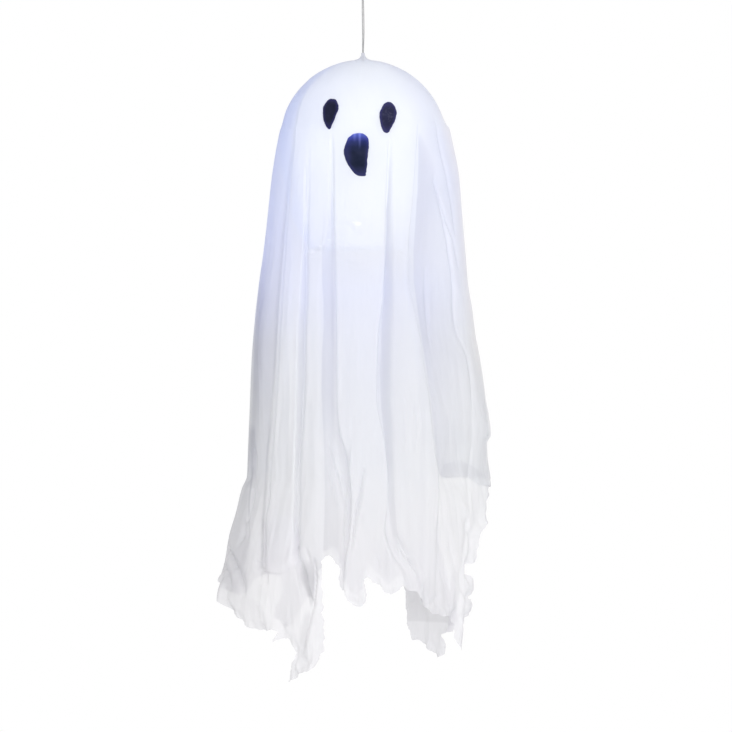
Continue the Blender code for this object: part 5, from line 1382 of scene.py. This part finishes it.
# ------------------------------------------------------------ finishes of the CAD parts
FINISH = {
    "ring_steel": moulded("ring_plated_steel", (0.50, 0.50, 0.51), (0.66, 0.66, 0.67), 0.24, 500, 0.10, 1.0),
    "knot": MAT_CORD,
    "nylon": moulded("washer_nylon", (0.66, 0.66, 0.62), (0.76, 0.76, 0.73), 0.45, 1200, 0.12),
    "lamp_plastic": moulded("lamp_moulded_plastic", (0.74, 0.75, 0.76), (0.82, 0.83, 0.84), 0.42, 1400, 0.2),
    "screw": moulded("screw_zinc", (0.42, 0.42, 0.43), (0.60, 0.60, 0.62), 0.30, 700, 0.12, 1.0),
    "contact": moulded("contact_nickel", (0.55, 0.53, 0.49), (0.70, 0.68, 0.63), 0.28, 900, 0.12, 1.0),
    "black": moulded("switch_black_plastic", (0.022, 0.022, 0.025), (0.045, 0.045, 0.05), 0.45, 1500, 0.25),
    "board": moulded("board_green_resist", (0.02, 0.10, 0.05), (0.05, 0.2, 0.10), 0.28, 350, 0.15, coat=0.3),
    "resistor": moulded("resistor_lacquer", (0.50, 0.36, 0.20), (0.66, 0.5, 0.32), 0.35, 700, 0.12),
    "red": moulded("lead_red_pvc", (0.42, 0.015, 0.012), (0.60, 0.03, 0.025), 0.4, 1100, 0.12),
    "dark": moulded("lead_black_pvc", (0.018, 0.018, 0.018), (0.04, 0.04, 0.04), 0.4, 1100, 0.12),
}


def cell_material():
    """Shrink sleeve: dark body, a bright metallic band at one end."""
    mat, tree, out = new_material("cell_sleeve_printed")
    links = tree.links
    coord = node(tree, "ShaderNodeTexCoord")
    axes = node(tree, "ShaderNodeSeparateXYZ")
    links.new(coord.outputs["Generated"], axes.inputs["Vector"])
    band = ramp(tree, axes.outputs["Z"],
                ((0.0, (0.55, 0.54, 0.5)), (0.035, (0.02, 0.022, 0.025)), (0.70, (0.02, 0.022, 0.025)),
                 (0.71, (0.50, 0.36, 0.16)), (0.965, (0.50, 0.36, 0.16)), (0.975, (0.6, 0.59, 0.56))),
                "CONSTANT")
    metal = ramp(tree, axes.outputs["Z"],
                 ((0.0, (1, 1, 1)), (0.035, (0, 0, 0)), (0.71, (0.6, 0.6, 0.6)), (0.975, (1, 1, 1))), "CONSTANT")
    fine = node(tree, "ShaderNodeTexNoise", Scale=500.0, Detail=3.0)
    links.new(coord.outputs["Object"], fine.inputs["Vector"])
    shader = node(tree, "ShaderNodeBsdfPrincipled", Roughness=0.28)
    links.new(band.outputs["Color"], shader.inputs["Base Color"])
    links.new(metal.outputs["Color"], shader.inputs["Metallic"])
    links.new(bumped(tree, fine.outputs["Fac"], 0.05, 0.0001), shader.inputs["Normal"])
    links.new(shader.outputs["BSDF"], out.inputs["Surface"])
    return mat


def lit_material(name, body, light, strength, roughness, clear=0.0):
    mat, tree, out = new_material(name)
    links = tree.links
    coord = node(tree, "ShaderNodeTexCoord")
    cloud = node(tree, "ShaderNodeTexNoise", Scale=200.0, Detail=3.0)
    links.new(coord.outputs["Object"], cloud.inputs["Vector"])
    tone = ramp(tree, cloud.outputs["Fac"], ((0.3, tuple(c * 0.92 for c in body)), (0.7, body)))
    shader = node(tree, "ShaderNodeBsdfPrincipled", Roughness=roughness)
    shader.inputs["Transmission Weight"].default_value = clear
    shader.inputs["Emission Color"].default_value = (*light, 1)
    shader.inputs["Emission Strength"].default_value = strength
    links.new(tone.outputs["Color"], shader.inputs["Base Color"])
    links.new(bumped(tree, cloud.outputs["Fac"], 0.08, 0.0001), shader.inputs["Normal"])
    links.new(shader.outputs["BSDF"], out.inputs["Surface"])
    return mat


FINISH["cell"] = cell_material()
FINISH["led"] = lit_material("led_lit", (0.85, 0.92, 1.0), (0.62, 0.76, 1.0), 6.0, 0.15)
FINISH["lens"] = lit_material("lens_clear", (0.92, 0.96, 1.0), (0.6, 0.75, 1.0), 0.6, 0.12, 0.8)

BY_NODE = {
    "hanging_ring": "ring_steel", "cord_knot": "knot", "knot_washer": "nylon",
    "crown_yoke": "lamp_plastic", "battery_case": "lamp_plastic", "battery_door": "lamp_plastic",
    "switch_plate": "lamp_plastic", "door_screw": "screw", "yoke_screw_left": "screw",
    "yoke_screw_right": "screw", "board_screw_left": "screw", "board_screw_right": "screw",
    "battery_1": "cell", "battery_2": "cell", "battery_3": "cell",
    "contact_spring_1": "contact", "contact_spring_2": "contact", "contact_spring_3": "contact",
    "contact_top_bridge": "contact", "contact_top_terminal": "contact",
    "contact_bottom_bridge": "contact", "contact_bottom_terminal": "contact",
    "switch_body": "black", "switch_slider": "black", "circuit_board": "board",
    "led_left": "led", "led_middle": "led", "led_right": "led", "series_resistor": "resistor",
    "lamp_lens": "lens", "lead_red": "red", "lead_black": "dark",
}
for name, finish in BY_NODE.items():
    obj = bpy.data.objects.get(name)
    if obj is None:
        raise RuntimeError("no node " + name)
    if not obj.material_slots:
        obj.data.materials.append(FINISH[finish])
    for s in obj.material_slots:
        s.material = FINISH[finish]

# ------------------------------------------------------------ floor, light
def make_floor():
    mat, tree, out = new_material("floor_pale")
    coord = node(tree, "ShaderNodeTexCoord")
    cloud = node(tree, "ShaderNodeTexNoise", Scale=1.5, Detail=2.0)
    tree.links.new(coord.outputs["Object"], cloud.inputs["Vector"])
    tone = ramp(tree, cloud.outputs["Fac"], ((0.3, (0.955, 0.955, 0.955)), (0.7, (0.97, 0.97, 0.97))))
    shader = node(tree, "ShaderNodeBsdfPrincipled", Roughness=0.95)
    shader.inputs["Specular IOR Level"].default_value = 0.1
    tree.links.new(tone.outputs["Color"], shader.inputs["Base Color"])
    tree.links.new(shader.outputs["BSDF"], out.inputs["Surface"])
    steps = 96
    verts = [(0, 0, -1.62)] + [(5.8 * math.cos(math.tau * j / steps), 5.8 * math.sin(math.tau * j / steps), -1.62)
                               for j in range(steps)]
    faces = [(0, 1 + j, 1 + (j + 1) % steps) for j in range(steps)]
    floor = new_object("studio_floor", verts, faces, mat, smooth=False)
    return floor


make_floor()

# brightness of the studio in front of and behind the object, from left (-1) to right (1)
WORLD_FRONT = ((-1, 0.89), (-0.66, 0.92), (-0.33, 0.91), (0.0, 0.86), (0.33, 0.77), (0.66, 0.62), (1, 0.52))
WORLD_BACK = ((-1, 0.0), (-0.66, 0.07), (-0.33, 0.28), (0.0, 0.50), (0.33, 0.65), (0.66, 0.69), (1, 0.64))

world = bpy.data.worlds.new("studio")
scene.world = world
world.use_nodes = True
wt = world.node_tree
wt.nodes.clear()
w_out = wt.nodes.new("ShaderNodeOutputWorld")
seen_bg = node(wt, "ShaderNodeBackground", Strength=1.0)
seen_bg.inputs["Color"].default_value = (1, 1, 1, 1)
light_bg = node(wt, "ShaderNodeBackground", Strength=1.0)
w_coord = node(wt, "ShaderNodeTexCoord")
w_axes = node(wt, "ShaderNodeSeparateXYZ")
wt.links.new(w_coord.outputs["Generated"], w_axes.inputs["Vector"])
w_side = node(wt, "ShaderNodeMapRange")
w_side.inputs["From Min"].default_value = -1.0
w_side.inputs["From Max"].default_value = 1.0
wt.links.new(w_axes.outputs["X"], w_side.inputs["Value"])
w_deep = node(wt, "ShaderNodeMapRange")
w_deep.inputs["From Min"].default_value = -1.0
w_deep.inputs["From Max"].default_value = 1.0
wt.links.new(w_axes.outputs["Y"], w_deep.inputs["Value"])
w_front = ramp(wt, w_side.outputs["Result"], [((x + 1) / 2, (v, v, v)) for x, v in WORLD_FRONT])
w_back = ramp(wt, w_side.outputs["Result"], [((x + 1) / 2, (v, v, v)) for x, v in WORLD_BACK])
w_both = node(wt, "ShaderNodeMix", data_type="RGBA")
# a colour mix's own sockets come after those it keeps for numbers and vectors
wt.links.new(w_deep.outputs["Result"], w_both.inputs[0])
wt.links.new(w_front.outputs["Color"], w_both.inputs[6])
wt.links.new(w_back.outputs["Color"], w_both.inputs[7])
wt.links.new(w_both.outputs[2], light_bg.inputs["Color"])
w_path = node(wt, "ShaderNodeLightPath")
w_mix = node(wt, "ShaderNodeMixShader")
wt.links.new(w_path.outputs["Is Camera Ray"], w_mix.inputs["Fac"])
wt.links.new(light_bg.outputs["Background"], w_mix.inputs[1])
wt.links.new(seen_bg.outputs["Background"], w_mix.inputs[2])
wt.links.new(w_mix.outputs["Shader"], w_out.inputs["Surface"])


def area_light(name, at, aim, size, energy, colour=(1, 1, 1)):
    data = bpy.data.lights.new(name, "AREA")
    data.shape = "DISK"
    data.size = size
    data.energy = energy
    data.color = colour
    obj = bpy.data.objects.new(name, data)
    obj.location = at
    obj.rotation_euler = (Vector(aim) - Vector(at)).to_track_quat("-Z", "Y").to_euler()
    scene.collection.objects.link(obj)
    return obj


area_light("key", (0.0, -3.0, 0.3), (0, 0, -0.45), 1.8, 24.4)
area_light("key_right", (1.5, -2.7, 0.3), (0, 0, -0.45), 1.8, 21.8)

lamp = bpy.data.lights.new("head_light", "POINT")
lamp.energy = 0.004
lamp.color = (0.42, 0.58, 1.0)
lamp.shadow_soft_size = 0.02
lamp_obj = bpy.data.objects.new("head_light", lamp)
lamp_obj.location = (-0.028, 0, CROWN_Z - 0.135)
scene.collection.objects.link(lamp_obj)

scene.view_settings.view_transform = "Standard"
scene.view_settings.look = "None"
scene.view_settings.exposure = 0.0
scene.view_settings.gamma = 1.0
